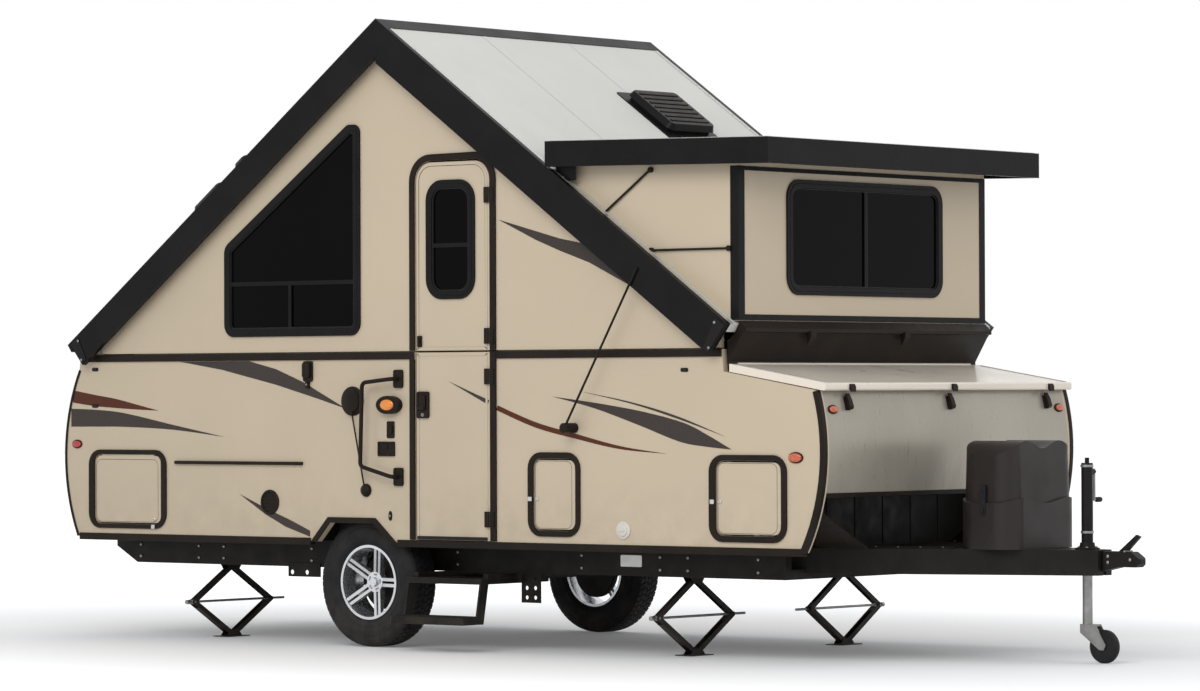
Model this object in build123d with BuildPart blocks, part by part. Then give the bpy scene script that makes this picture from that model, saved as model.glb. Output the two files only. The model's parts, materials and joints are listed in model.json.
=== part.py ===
from build123d import *
import os
from math import atan2, cos, degrees, hypot, radians, sin, tan

# A-frame camper trailer, parked with its roof, gable walls and dormer up.
# X runs forward to the coupler, Y to the off side, Z up from the ground.
# The origin is on the ground under the middle of the trailer. All sizes are in millimetres.

os.makedirs("parts", exist_ok=True)

# Overall sizes
rear_bulge_x = -3215
body_half_width = 1079.5
wall = 38
gap = 5
fit = 0.3
seat = 0.3

# Axle, tyres and rims
axle_x = -988
tyre_radius = 343
tyre_width = 190
wheel_inset = 141
track = 2 * (body_half_width - wheel_inset)
rim_radius = 192
rim_width = 165
rim_flange = 6
rim_dish = 50
hub_radius = 54
hub_thickness = 40
hub_cap = 6
hub_cap_radius = 26
spoke_count = 5
spoke_width = 17
spoke_spacing = 30
lug_circle = 40
lug_radius = 7
spindle_radius = 17
spindle_setback = 70

# Chassis
rail_inset = 304.5
rail_y = body_half_width - rail_inset
rail_width = 50
rail_bottom = 405
rail_rear_x = -3090
rail_front_x = 1620
cross_height = 50
tongue_rail_width = 50
tongue_rail_bottom = 434
tongue_tip_y = 62
tongue_root_x = 1250
ball_socket_radius = 25.8
ball_socket_depth = 24
coupler_bottom = 478

# Side walls
skirt_bottom = 555
floor_thickness = 50
rear_bottom_x = -3119
rear_top_x = -3103
rear_top_z = 1480
rear_bulge_z = 1085
front_bottom_x = 1951
front_bulge_x = 2075
front_bulge_z = 1020
front_top_x = 2031
belt_z = 1560
off_belt_step = 66
arch_feet = (-355, 261)
arch_shoulders = (-231, 106)
arch_over_tyre = 1
arch_trim_width = 30
gable_gap = 6
gable_hinge_radius = 6
gable_leaf = 3
gable_leaf_height = 45
gable_clearance = 10
gable_corner = 120
trim_proud = 8

# Roof: two panels from the ridge to the eaves over the rear wall and at the dormer's sill
dormer_face_x = 1534
dormer_sill_rise = 140
dormer_sill_z = belt_z + dormer_sill_rise
ridge_x = -808
ridge_z = 3311
ridge_cap = 5
rear_eave_overhang = 2
rear_eave_rise = 64
front_eave_setback = 4.5
front_eave_drop = 19.5
rear_eave = (rear_top_x - rear_eave_overhang, belt_z + rear_eave_rise)
front_eave = (dormer_face_x - front_eave_setback, dormer_sill_z - front_eave_drop)
rear_slope = degrees(atan2(ridge_z - rear_eave[1], ridge_x - rear_eave[0]))
front_slope = degrees(atan2(ridge_z - front_eave[1], front_eave[0] - ridge_x))
rear_length = hypot(ridge_z - rear_eave[1], ridge_x - rear_eave[0])
front_length = hypot(ridge_z - front_eave[1], front_eave[0] - ridge_x)
panel_thickness = 45
roof_overhang = 44.5
panel_half_width = body_half_width + roof_overhang
board_thickness = 30
rear_board_depth = 155
front_board_depth = 188

# Dormer
dormer_inset = 63
dormer_half_width = panel_half_width - dormer_inset
dormer_wall = 30
hat_rear_x = 373
hat_front_x = 1810
hat_skin = 18
hat_side_gap = 3.5
hat_half_width = panel_half_width + board_thickness + hat_side_gap + hat_skin
hat_depth = 130
hat_lift = 10
hat_fall = 27

# Front trunk
bulkhead_x = 1440
recess_x = 1640
recess_z = 830
lid_rear_x = 1482
lid_front_x = 2078
lid_below_belt = 74
lid_fall = 97
lid_rear_z = belt_z - lid_below_belt
lid_front_z = lid_rear_z - lid_fall
lid_thickness = 40
lid_edge_radius = 12
lid_hinge_radius = 6
panel_wall = 30

# Doors and hatches
door_gap = 8
hatch_gap = 7
hatch_thickness = 30
hatch_radius = 40
door_x0 = -589
door_x1 = -84
door_bottom = 578
door_head = 183
door_hinge_offset = 2
door_hinge_proud = 14
door_hinge_radius = 6
door_hinge_length = 80
door_leaf_width = 28
door_window_width = 290
door_window_height = 576
door_window_head = 117
door_window_shift = -10.5
hatch_hinge_proud = 2
hatch_leaf_width = 18
hatch_leaf = 1.5
hatches = {
    "hatch_rear": (-2973, -2470, 635, 1004),
    "hatch_mid": (221, 488, 646, 1000),
    "hatch_front": (1409, 1804, 639, 997),
}

# Scissor jacks
jack_xs = {"rear": -2358, "front": 912}
jack_inset = 134
jack_y = rail_y - jack_inset
arm_length = 340
arm_angle = 32
jack_pivot_half_gap = 16
pad_pivot_height = 20
pin_radius = 6
pad_clearance = 2
arm_plate = 3
arm_half_height = 13
upper_arm_half_width = 14
lower_arm_half_width = 19
bracket_half_width = 25

# Entry step
step_x0 = -638
step_x1 = -126
step_top_z = 382
step_depth = 30
step_upper_reach = 25.5
step_low_reach = 170.5
step_upper_y = -body_half_width - step_upper_reach
step_low_y = -body_half_width - step_low_reach
step_inner_y = -560
step_low_z = 146
step_tread_width = 175
step_thickness = 38
step_bar = 12
runner_gap = 0.5
runner_width = 30
runner_inset = 29.5
step_bracket_x = -45
step_bracket_length = 130
step_bracket_depth = 155
step_bracket_plate = 6

# Along the tongue: the gas bottle cover, the jack, the rails' tip, the ball and the coupler's tip
cover_setback = 224.5
cover_length = 345
cover_x = front_bulge_x + cover_setback + cover_length / 2
jack_setback = 243.5
tongue_jack_x = cover_x + cover_length / 2 + jack_setback
caster_trail = 100
caster_x = tongue_jack_x + caster_trail
tip_setback = 102
tongue_tip_x = tongue_jack_x + tip_setback
ball_setback = 150
ball_x = tongue_tip_x + ball_setback
coupler_nose = 75
coupler_tip_x = ball_x + coupler_nose

# Tongue jack and deck
jack_tube_radius = 29
jack_leg_radius = 25
jack_tube_top = 989
jack_tube_cap = 8
jack_lift = 230
caster_radius = 83
deck_rear_x = 1650
deck_thickness = 6
guard_plate = 6
guard_top_z = 790
guard_front_x = 1975
guard_foot_y = 590


def xz(y):
    """The upright plane across the trailer's width at Y = y, its local axes X and Z."""
    return Plane.XZ.offset(-y)


def yz(x):
    """The upright plane at X = x, its local axes Y and Z."""
    return Plane.YZ.offset(x)


def save(solid, name):
    """Label one finished piece and write its file."""
    solid.label = name
    export_step(solid, f"parts/{name}.step")


def roof_z(x, below=0.0):
    """Height of the roof's top surface at X = x, less a depth measured square to the slope."""
    slope = radians(rear_slope if x < ridge_x else front_slope)
    return ridge_z - abs(x - ridge_x) * tan(slope) - below / cos(slope)


def roof_x(z, below, front):
    """The X at which the roof, less a depth square to the slope, comes down to height z."""
    slope = radians(front_slope if front else rear_slope)
    run = (ridge_z - below / cos(slope) - z) / tan(slope)
    return ridge_x + run if front else ridge_x - run


def lid_z(x):
    """Height of the trunk lid's top surface at X = x."""
    share = (x - lid_rear_x) / (lid_front_x - lid_rear_x)
    return lid_rear_z + (lid_front_z - lid_rear_z) * share


def tongue_y(x):
    """How far the tongue rails' outer faces lie from the middle plane at X = x."""
    share = (x - tongue_root_x) / (tongue_tip_x - tongue_root_x)
    return rail_y + (tongue_tip_y - rail_y) * share


def grown(outline, amount):
    """An outline moved outward by an amount, or inward by a negative one."""
    with BuildSketch() as moved:
        add(outline)
        offset(amount=amount)
    return moved.sketch


jack_top_z = pad_clearance + pad_pivot_height + 2 * arm_length * sin(radians(arm_angle))
hat_rear_top = roof_z(hat_rear_x) + hat_depth + hat_lift
hat_front_top = hat_rear_top - hat_fall
door_top = roof_z(door_x1 + door_gap, panel_thickness + gable_clearance) - door_head
door_hinges = {
    "door_lower": (door_bottom + 112, belt_z - 130),
    "door_upper": (belt_z + 80, door_top - 180),
}

# Chassis: two main rails, cross members, the tongue's A-frame, its deck and the step's frame
floor_z = skirt_bottom + floor_thickness
rail_top = skirt_bottom - seat
tongue_rail_height = rail_top - tongue_rail_bottom
tongue_rail_top = rail_top
with BuildPart() as chassis_frame:
    for side in (-1, 1):
        with BuildSketch(xz(side * rail_y - rail_width / 2)):
            with BuildLine():
                Polyline(
                    (rail_rear_x, rail_top),
                    (rail_rear_x, rail_top - 60),
                    (rail_rear_x + 160, rail_bottom),
                    (rail_front_x, rail_bottom),
                    (rail_front_x, rail_top),
                    close=True,
                )
            make_face()
        extrude(amount=-rail_width)
    low_cross_xs = (jack_xs["rear"], axle_x - 560, axle_x + 560, 300, jack_xs["front"], rail_front_x - 30)
    cross_members = [(x, rail_bottom) for x in low_cross_xs]
    cross_members.append((rail_rear_x + 30, rail_top - cross_height))
    for cross_x, cross_z in cross_members:
        with BuildSketch(Plane.XY.offset(cross_z)):
            with Locations((cross_x, 0)):
                Rectangle(60, 2 * rail_y)
        extrude(amount=cross_height)
    for side in (-1, 1):
        with BuildSketch(Plane.XY.offset(tongue_rail_bottom)):
            with BuildLine():
                Polyline(
                    (tongue_root_x, side * rail_y),
                    (tongue_tip_x, side * tongue_tip_y),
                    (tongue_tip_x, side * (tongue_tip_y - tongue_rail_width)),
                    (tongue_root_x, side * (rail_y - tongue_rail_width)),
                    close=True,
                )
            make_face()
        extrude(amount=tongue_rail_height)
    for side in (-1, 1):
        for jack_x in jack_xs.values():
            bracket_top = rail_bottom
            with BuildSketch(yz(jack_x - bracket_half_width)):
                with BuildLine():
                    Polyline(
                        (side * jack_y - 62, bracket_top),
                        (side * jack_y - 36, jack_top_z - 12),
                        (side * jack_y + 36, jack_top_z - 12),
                        (side * jack_y + 62, bracket_top),
                        close=True,
                    )
                make_face()
            extrude(amount=2 * bracket_half_width)
            with BuildSketch(yz(jack_x - bracket_half_width + arm_plate)):
                with Locations((side * jack_y, jack_top_z - 22)):
                    Rectangle(200, 2 * (rail_bottom - jack_top_z + 18))
            extrude(amount=2 * (bracket_half_width - arm_plate), mode=Mode.SUBTRACT)
            with BuildSketch(yz(jack_x - bracket_half_width)):
                with Locations(
                    (side * jack_y - jack_pivot_half_gap, jack_top_z),
                    (side * jack_y + jack_pivot_half_gap, jack_top_z),
                ):
                    Circle(pin_radius)
            extrude(amount=2 * bracket_half_width)
    runner_outer_y = runner_inset - body_half_width
    runner_centre_y = (runner_outer_y + step_inner_y) / 2
    with BuildSketch(Plane.XY.offset(step_top_z + runner_gap)):
        with Locations(
            (step_x0 + runner_width / 2, runner_centre_y),
            (step_x1 - runner_width / 2, runner_centre_y),
        ):
            Rectangle(runner_width, step_inner_y - runner_outer_y)
    extrude(amount=rail_bottom - step_top_z - runner_gap)
    with BuildSketch(xz(-rail_y - rail_width / 2)):
        with Locations((step_bracket_x, rail_bottom + cross_height / 2 - step_bracket_depth / 2)):
            Rectangle(step_bracket_length, step_bracket_depth + cross_height)
        with Locations((step_bracket_x, rail_bottom - step_bracket_depth / 2)):
            with GridLocations(58, 50, 2, 3):
                Circle(11, mode=Mode.SUBTRACT)
    extrude(amount=-step_bracket_plate)
    with BuildSketch(Plane.XY.offset(tongue_rail_top)):
        with BuildLine():
            Polyline(
                (deck_rear_x, -tongue_y(deck_rear_x)),
                (tongue_tip_x, -tongue_tip_y),
                (tongue_tip_x, tongue_tip_y),
                (deck_rear_x, tongue_y(deck_rear_x)),
                close=True,
            )
        make_face()
        with Locations((tongue_jack_x, 0)):
            Circle(jack_tube_radius + fit, mode=Mode.SUBTRACT)
    extrude(amount=deck_thickness)
save(chassis_frame.part, "chassis_frame")

# Coupler: a ball socket at the tongue's tip with its raised latch lever
with BuildPart() as coupler:
    with BuildSketch(xz(-32)):
        with BuildLine():
            Polyline(
                (tongue_tip_x + seat, tongue_rail_bottom + 20),
                (ball_x - 45, coupler_bottom),
                (coupler_tip_x - 22, coupler_bottom),
                (coupler_tip_x, coupler_bottom + 18),
                (coupler_tip_x, coupler_bottom + 40),
                (coupler_tip_x - 50, coupler_bottom + 76),
                (tongue_tip_x + seat, tongue_rail_top),
                close=True,
            )
        make_face()
    extrude(amount=-64)
    fillet(coupler.edges().filter_by(Axis.Z), 14)
    with BuildSketch(Plane.XY.offset(coupler_bottom)):
        with Locations((ball_x, 0)):
            Circle(ball_socket_radius)
    extrude(amount=ball_socket_depth, mode=Mode.SUBTRACT)
    with BuildSketch(xz(-9)):
        with BuildLine():
            Polyline(
                (ball_x - 70, coupler_bottom + 70),
                (ball_x + 40, coupler_bottom + 160),
                (ball_x + 62, coupler_bottom + 150),
                (ball_x - 30, coupler_bottom + 60),
                close=True,
            )
        make_face()
    extrude(amount=-18)
save(coupler.part, "coupler")

# Moulded cover over the two gas bottles: rounded plan, two lobes on top and a wavy parting step
cover_width = 610
cover_corner = 110
cover_bottom = tongue_rail_top + deck_thickness + seat
cover_top = 1100
cover_waist_z = 815
cover_step = 7
with BuildPart() as cover_skirt:
    with BuildSketch(Plane.XY.offset(cover_bottom)):
        with Locations((cover_x, 0)):
            RectangleRounded(cover_length, cover_width, cover_corner)
    extrude(amount=cover_waist_z - cover_bottom)
    with BuildSketch(yz(cover_x - cover_length)):
        with BuildLine():
            Polyline(
                (-cover_width, cover_waist_z + 60),
                (-cover_width, cover_waist_z - 24),
                (-0.5 * cover_width, cover_waist_z - 24),
            )
            Spline(
                (-0.5 * cover_width, cover_waist_z - 24),
                (-0.25 * cover_width, cover_waist_z - 4),
                (0, cover_waist_z - 28),
                (0.25 * cover_width, cover_waist_z - 4),
                (0.5 * cover_width, cover_waist_z - 24),
            )
            Polyline(
                (0.5 * cover_width, cover_waist_z - 24),
                (cover_width, cover_waist_z - 24),
                (cover_width, cover_waist_z + 60),
                (-cover_width, cover_waist_z + 60),
            )
        make_face()
    extrude(amount=2 * cover_length, mode=Mode.SUBTRACT)
with BuildPart() as gas_bottle_cover:
    with BuildSketch(Plane.XY.offset(cover_bottom)):
        with Locations((cover_x, 0)):
            RectangleRounded(
                cover_length - 2 * cover_step,
                cover_width - 2 * cover_step,
                cover_corner - cover_step,
            )
    extrude(amount=cover_top - cover_bottom, taper=1.5)
    with BuildSketch(yz(cover_x - cover_length)):
        with BuildLine():
            Polyline(
                (-cover_width, cover_top + 60),
                (-cover_width, cover_top - 90),
                (-0.5 * cover_width, cover_top - 90),
            )
            Spline(
                (-0.5 * cover_width, cover_top - 90),
                (-0.36 * cover_width, cover_top - 22),
                (-0.22 * cover_width, cover_top - 2),
                (0, cover_top - 40),
                (0.22 * cover_width, cover_top - 2),
                (0.36 * cover_width, cover_top - 22),
                (0.5 * cover_width, cover_top - 90),
            )
            Polyline(
                (0.5 * cover_width, cover_top - 90),
                (cover_width, cover_top - 90),
                (cover_width, cover_top + 60),
                (-cover_width, cover_top + 60),
            )
        make_face()
    extrude(amount=2 * cover_length, mode=Mode.SUBTRACT)
    add(cover_skirt.part)
save(gas_bottle_cover.part, "gas_bottle_cover")

# Axle: a square tube with trailing arms and stub spindles, hung from the rails
axle_tube = 50
axle_setback = 130
hanger_length = 180
hub_inner_y = track / 2 - spindle_setback
hub_face = rim_width / 2 - rim_dish
spindle_length = spindle_setback + hub_face - hub_cap - gap
with BuildPart() as axle:
    with BuildSketch(xz(-hub_inner_y + 30)):
        with Locations((axle_x + axle_setback, tyre_radius + 15)):
            RectangleRounded(axle_tube + 14, axle_tube + 14, 8)
    extrude(amount=-2 * (hub_inner_y - 30))
    for side in (-1, 1):
        with BuildSketch(xz(side * (hub_inner_y - 15) - 15)):
            with BuildLine():
                Polyline(
                    (axle_x - 32, tyre_radius - 26),
                    (axle_x + axle_setback + 38, tyre_radius - 26),
                    (axle_x + axle_setback + 38, tyre_radius + 52),
                    (axle_x - 32, tyre_radius + 30),
                    close=True,
                )
            make_face()
        extrude(amount=-30)
        with BuildSketch(xz(side * (hub_inner_y + spindle_length / 2) - spindle_length / 2)):
            with Locations((axle_x, tyre_radius)):
                Circle(spindle_radius)
        extrude(amount=-spindle_length)
        with BuildSketch(xz(side * rail_y - 20)):
            with Locations((axle_x + axle_setback, (tyre_radius + 30 + rail_bottom - seat) / 2)):
                Rectangle(hanger_length, rail_bottom - seat - tyre_radius - 30)
        extrude(amount=-40)
save(axle.part, "axle_and_arms")

# Cabin floor with a wheel box over each tyre
box_half_length = tyre_radius + 47
box_top = 2 * tyre_radius + 64
box_inner_y = track / 2 - tyre_width / 2 - 22
inner_half_width = body_half_width - wall
with BuildPart() as cabin_floor:
    with BuildSketch(Plane.XY.offset(skirt_bottom)):
        with BuildLine():
            Polyline(
                (rear_bottom_x + wall + 8, -inner_half_width + seat),
                (bulkhead_x - seat, -inner_half_width + seat),
                (bulkhead_x - seat, inner_half_width - seat),
                (rear_bottom_x + wall + 8, inner_half_width - seat),
                close=True,
            )
        make_face()
    extrude(amount=floor_thickness)
    for side in (-1, 1):
        low_y = min(side * box_inner_y, side * (inner_half_width - seat))
        high_y = max(side * box_inner_y, side * (inner_half_width - seat))
        with BuildSketch(xz(low_y)):
            with Locations((axle_x, box_top / 2)):
                Rectangle(2 * box_half_length, box_top)
            with Locations((axle_x, skirt_bottom / 2)):
                Rectangle(2 * box_half_length, skirt_bottom, mode=Mode.SUBTRACT)
        extrude(amount=-(high_y - low_y))
        cut_low = min(side * (box_inner_y + 4), side * (inner_half_width + 1))
        cut_high = max(side * (box_inner_y + 4), side * (inner_half_width + 1))
        with BuildSketch(xz(cut_low)):
            with Locations((axle_x, (box_top - 4) / 2)):
                Rectangle(2 * box_half_length - 8, box_top - 4)
        extrude(amount=-(cut_high - cut_low), mode=Mode.SUBTRACT)
save(cabin_floor.part, "cabin_floor")


def wall_outline(top_z):
    """The side wall's outline: curved ends and a front top edge that follows the trunk lid."""
    ear_x = roof_x(top_z + gable_corner, panel_thickness + gable_clearance, False) - gap
    with BuildLine() as outline:
        ThreePointArc((rear_bottom_x, skirt_bottom), (rear_bulge_x + 2, rear_bulge_z), (rear_top_x, rear_top_z))
        Polyline(
            (rear_top_x, rear_top_z),
            (rear_top_x + 12, belt_z),
            (ear_x, roof_z(ear_x, panel_thickness + gap)),
            (ear_x, top_z),
            (bulkhead_x, top_z),
            (bulkhead_x + 10, lid_z(bulkhead_x) - lid_thickness - gap),
            (front_top_x, lid_z(front_top_x) - lid_thickness - gap),
        )
        ThreePointArc(
            (front_top_x, lid_z(front_top_x) - lid_thickness - gap),
            (front_bulge_x, front_bulge_z),
            (front_bottom_x, skirt_bottom),
        )
        Line((front_bottom_x, skirt_bottom), (rear_bottom_x, skirt_bottom))
    return outline.line


def arch_outline(inset):
    """The wheel arch's outline, an amount inside the trim's outer edge, open at the wall's bottom."""
    arch_top_z = 2 * tyre_radius + arch_over_tyre
    below_z = skirt_bottom - 2 * arch_trim_width
    with BuildSketch() as outline:
        with BuildLine():
            Polyline(
                (axle_x + arch_feet[0], below_z),
                (axle_x + arch_feet[0], skirt_bottom),
                (axle_x + arch_shoulders[0], arch_top_z),
                (axle_x + arch_shoulders[1], arch_top_z),
                (axle_x + arch_feet[1], skirt_bottom),
                (axle_x + arch_feet[1], below_z),
                close=True,
            )
        make_face()
        if inset:
            offset(amount=-inset)
    return outline.sketch


gable_hinge_x0 = -2715
gable_hinge_x1 = 1335
gable_hinge_inset = 30
gable_hinge_spans = {
    -1: ((gable_hinge_x0, door_x0 - gable_hinge_inset), (door_x1 + gable_hinge_inset, gable_hinge_x1)),
    1: ((gable_hinge_x0, gable_hinge_x1),),
}


def door_jamb_leaves(leaf_name):
    """The fixed halves of the door's hinges, which stand on the wall beside the door's edge."""
    leaf_x = door_x1 + door_hinge_offset + door_hinge_radius + fit
    with BuildPart() as leaves:
        for hinge_z in door_hinges[leaf_name]:
            with BuildSketch(Plane.XY.offset(hinge_z - door_hinge_length / 2)):
                with Locations((leaf_x + door_leaf_width / 2, -body_half_width - door_hinge_proud / 2)):
                    Rectangle(door_leaf_width, door_hinge_proud)
            extrude(amount=door_hinge_length)
    return leaves.part


def door_barrels(leaf_name):
    """The door's own halves of its hinges: a barrel round the pin and the leaf under it."""
    axis_x = door_x1 + door_hinge_offset
    with BuildPart() as barrels:
        for hinge_z in door_hinges[leaf_name]:
            with BuildSketch(Plane.XY.offset(hinge_z - door_hinge_length / 2)):
                with Locations((axis_x, -body_half_width - door_hinge_proud)):
                    Circle(door_hinge_radius)
                with Locations((axis_x - door_leaf_width / 2, -body_half_width - door_hinge_proud / 2)):
                    Rectangle(door_leaf_width, door_hinge_proud)
            extrude(amount=door_hinge_length)
    return barrels.part


def side_wall(side, top_z, with_doors):
    """A lower side wall, one panel thick, with its door opening, hatches and wheel arch cut."""
    low_y = -body_half_width if side < 0 else inner_half_width
    jamb_leaves = door_jamb_leaves("door_lower")
    arch_opening = arch_outline(arch_trim_width)
    with BuildPart() as panel:
        with BuildSketch(xz(low_y)):
            with BuildLine():
                add(wall_outline(top_z))
            make_face()
            add(arch_opening, mode=Mode.SUBTRACT)
            if with_doors:
                with Locations(((door_x0 + door_x1) / 2, (door_bottom - door_gap + top_z + wall) / 2)):
                    Rectangle(
                        door_x1 - door_x0 + 2 * door_gap,
                        top_z + wall - door_bottom + door_gap,
                        mode=Mode.SUBTRACT,
                    )
                for x0, x1, z0, z1 in hatches.values():
                    with Locations(((x0 + x1) / 2, (z0 + z1) / 2)):
                        RectangleRounded(
                            x1 - x0 + 2 * hatch_gap,
                            z1 - z0 + 2 * hatch_gap,
                            hatch_radius + hatch_gap,
                            mode=Mode.SUBTRACT,
                        )
        extrude(amount=-wall)
        with BuildSketch(xz(low_y + (wall if side < 0 else -gable_leaf))):
            for x0, x1 in gable_hinge_spans[side]:
                with Locations(((x0 + x1) / 2, top_z + gable_gap - seat - gable_leaf_height / 2)):
                    Rectangle(x1 - x0, gable_leaf_height)
        extrude(amount=-gable_leaf)
        if with_doors:
            add(jamb_leaves)
    return panel.part


save(side_wall(-1, belt_z, True), "side_wall_curb")
save(side_wall(1, belt_z + off_belt_step, False), "side_wall_off")

# Rear wall: one curved panel between the side walls
with BuildPart() as rear_wall:
    with BuildSketch(xz(-inner_half_width + seat)):
        with BuildLine():
            ThreePointArc(
                (rear_bottom_x, skirt_bottom),
                (rear_bulge_x + 2, rear_bulge_z),
                (rear_top_x, rear_top_z),
            )
            Polyline(
                (rear_top_x, rear_top_z),
                (rear_top_x + 12, roof_z(rear_top_x + 12, panel_thickness) - seat),
                (rear_top_x + 12 + wall, roof_z(rear_top_x + 12 + wall, panel_thickness) - seat),
                (rear_top_x + wall, rear_top_z),
            )
            ThreePointArc(
                (rear_top_x + wall, rear_top_z),
                (rear_bulge_x + 2 + wall, rear_bulge_z),
                (rear_bottom_x + wall, skirt_bottom),
            )
            Line((rear_bottom_x + wall, skirt_bottom), (rear_bottom_x, skirt_bottom))
        make_face()
    extrude(amount=-2 * (inner_half_width - seat))
save(rear_wall.part, "rear_wall")

# Front trunk: bulkhead, recessed lower face and the curved front panel, open at the top
with BuildPart() as front_wall:
    with BuildSketch(xz(-inner_half_width + seat)):
        with BuildLine():
            Polyline(
                (front_top_x, lid_z(front_top_x) - lid_thickness - gap),
                (front_top_x - 6, lid_z(front_top_x - 6) - lid_thickness - gap),
                (front_top_x - 6, lid_z(front_top_x - 6) - lid_thickness - seat),
                (front_top_x - panel_wall, lid_z(front_top_x - panel_wall) - lid_thickness - seat),
                (bulkhead_x + panel_wall, lid_z(bulkhead_x + panel_wall) - lid_thickness - gap),
                (bulkhead_x, lid_z(bulkhead_x) - lid_thickness - gap),
                (bulkhead_x, skirt_bottom),
                (recess_x, skirt_bottom),
                (recess_x, recess_z),
                (front_bulge_x - 30, recess_z),
            )
            ThreePointArc(
                (front_bulge_x - 30, recess_z),
                (front_bulge_x - 1, front_bulge_z + 60),
                (front_top_x, lid_z(front_top_x) - lid_thickness - gap),
            )
        make_face()
        with BuildLine():
            Polyline(
                (front_top_x - panel_wall, lid_z(front_top_x) - lid_thickness + wall),
                (bulkhead_x + panel_wall, lid_z(bulkhead_x) - lid_thickness + wall),
                (bulkhead_x + panel_wall, floor_z),
                (recess_x - panel_wall, floor_z),
                (recess_x - panel_wall, recess_z + panel_wall),
                (front_bulge_x - 30 - panel_wall, recess_z + panel_wall),
            )
            ThreePointArc(
                (front_bulge_x - 30 - panel_wall, recess_z + panel_wall),
                (front_bulge_x - 1 - panel_wall, front_bulge_z + 60),
                (front_top_x - panel_wall, lid_z(front_top_x) - lid_thickness + wall),
            )
        make_face(mode=Mode.SUBTRACT)
    extrude(amount=-2 * (inner_half_width - seat))
save(front_wall.part, "front_wall")


def slope_point(distance, depth, front):
    """A point on the roof's section: down the slope from the ridge, then square to it into the roof."""
    slope = radians(front_slope if front else rear_slope)
    way = 1 if front else -1
    x = ridge_x + way * (distance * cos(slope) - depth * sin(slope))
    z = ridge_z - distance * sin(slope) - depth * cos(slope)
    return (x, z)


def hat_top(x):
    """Height of the dormer roof's top at X = x."""
    share = (x - hat_rear_x) / (hat_front_x - hat_rear_x)
    return hat_rear_top + (hat_front_top - hat_rear_top) * share


def roof_panel(front):
    """One roof panel's section, mitred at the ridge and extruded across the trailer."""
    slope = radians(front_slope if front else rear_slope)
    length = front_length if front else rear_length
    with BuildPart() as panel:
        with BuildSketch(xz(-panel_half_width)):
            with BuildLine():
                Polyline(
                    (ridge_x + (seat if front else -seat), ridge_z - seat),
                    slope_point(length, 0, front),
                    slope_point(length, panel_thickness, front),
                    (ridge_x + (seat if front else -seat), ridge_z - panel_thickness / cos(slope)),
                    close=True,
                )
            make_face()
        extrude(amount=-2 * panel_half_width)
        if front:
            with BuildSketch(Plane.XY.offset(dormer_sill_z - 200)):
                with Locations(((hat_rear_x + 110 + dormer_face_x - 90) / 2, 0)):
                    Rectangle(dormer_face_x - 90 - hat_rear_x - 110, 2 * (dormer_half_width - dormer_wall - 30))
            extrude(amount=1500, mode=Mode.SUBTRACT)
    return panel.part


save(roof_panel(False), "roof_rear_panel")
save(roof_panel(True), "roof_front_panel")


def roof_plane(x, y):
    """A plane on the roof's top surface at (x, y), its local X along the slope."""
    way = 1 if x > ridge_x else -1
    slope = radians(front_slope if x > ridge_x else rear_slope)
    return Plane(
        origin=(x, y, roof_z(x)),
        x_dir=(cos(slope), 0, -way * sin(slope)),
        z_dir=(way * sin(slope), 0, cos(slope)),
    )


# Roof edge boards, ridge cap, rear end rail and the roof vents
vent_x = -130
vent_y = 472
vent_flange = 460
vent_lid_length = 370
vent_lid_width = 400
vent_neck_height = 26
vent_lid_height = 34
dome_y = 74 - panel_half_width
dome_width = 140
dome_height = 58
front_dome_x = -1830
front_dome_length = 160
rear_dome_x = -2080
rear_dome_length = 300
with BuildPart() as roof_trim:
    for low_y in (-panel_half_width - board_thickness, panel_half_width + seat):
        for front in (False, True):
            depth = front_board_depth if front else rear_board_depth
            length = front_length if front else rear_length
            slope = radians(front_slope if front else rear_slope)
            with BuildSketch(xz(low_y)):
                with BuildLine():
                    Polyline(
                        (ridge_x, ridge_z + ridge_cap),
                        slope_point(length, -4, front),
                        slope_point(length - 12, depth, front),
                        (ridge_x, ridge_z - depth / cos(slope)),
                        close=True,
                    )
                make_face()
            extrude(amount=-(board_thickness - seat))
    with BuildSketch(xz(-panel_half_width - board_thickness)):
        with BuildLine():
            Polyline(
                (ridge_x, ridge_z + ridge_cap),
                slope_point(85, -4, True),
                slope_point(85, -seat, True),
                (ridge_x, ridge_z + seat),
                slope_point(85, -seat, False),
                slope_point(85, -4, False),
                close=True,
            )
        make_face()
    extrude(amount=-2 * (panel_half_width + board_thickness))
    with BuildSketch(xz(-panel_half_width - board_thickness)):
        with BuildLine():
            Polyline(
                slope_point(rear_length + seat, -4, False),
                slope_point(rear_length + 16, -4, False),
                slope_point(rear_length + 16, panel_thickness, False),
                slope_point(rear_length + seat, panel_thickness, False),
                close=True,
            )
        make_face()
    extrude(amount=-2 * (panel_half_width + board_thickness))
vent_plane = roof_plane(vent_x, vent_y)
with BuildPart() as roof_vent:
    with BuildSketch(vent_plane.offset(seat)):
        RectangleRounded(vent_flange, vent_flange, 18)
    extrude(amount=5)
    with BuildSketch(vent_plane.offset(seat)):
        RectangleRounded(vent_lid_length - 30, vent_lid_width - 30, 30)
    extrude(amount=vent_neck_height)
    with BuildSketch(vent_plane.offset(vent_neck_height)):
        RectangleRounded(vent_lid_length, vent_lid_width, 40)
    extrude(amount=vent_lid_height, taper=25)
roof_pieces = [roof_trim.part, roof_vent.part]
for dome_x, dome_length in ((front_dome_x, front_dome_length), (rear_dome_x, rear_dome_length)):
    with BuildPart() as dome:
        with BuildSketch(roof_plane(dome_x, dome_y).offset(seat)):
            RectangleRounded(dome_length, dome_width, dome_width / 2 - 12)
        extrude(amount=dome_height, taper=28)
    roof_pieces.append(dome.part)
save(Compound(children=roof_pieces), "roof_trim_and_vents")

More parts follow.
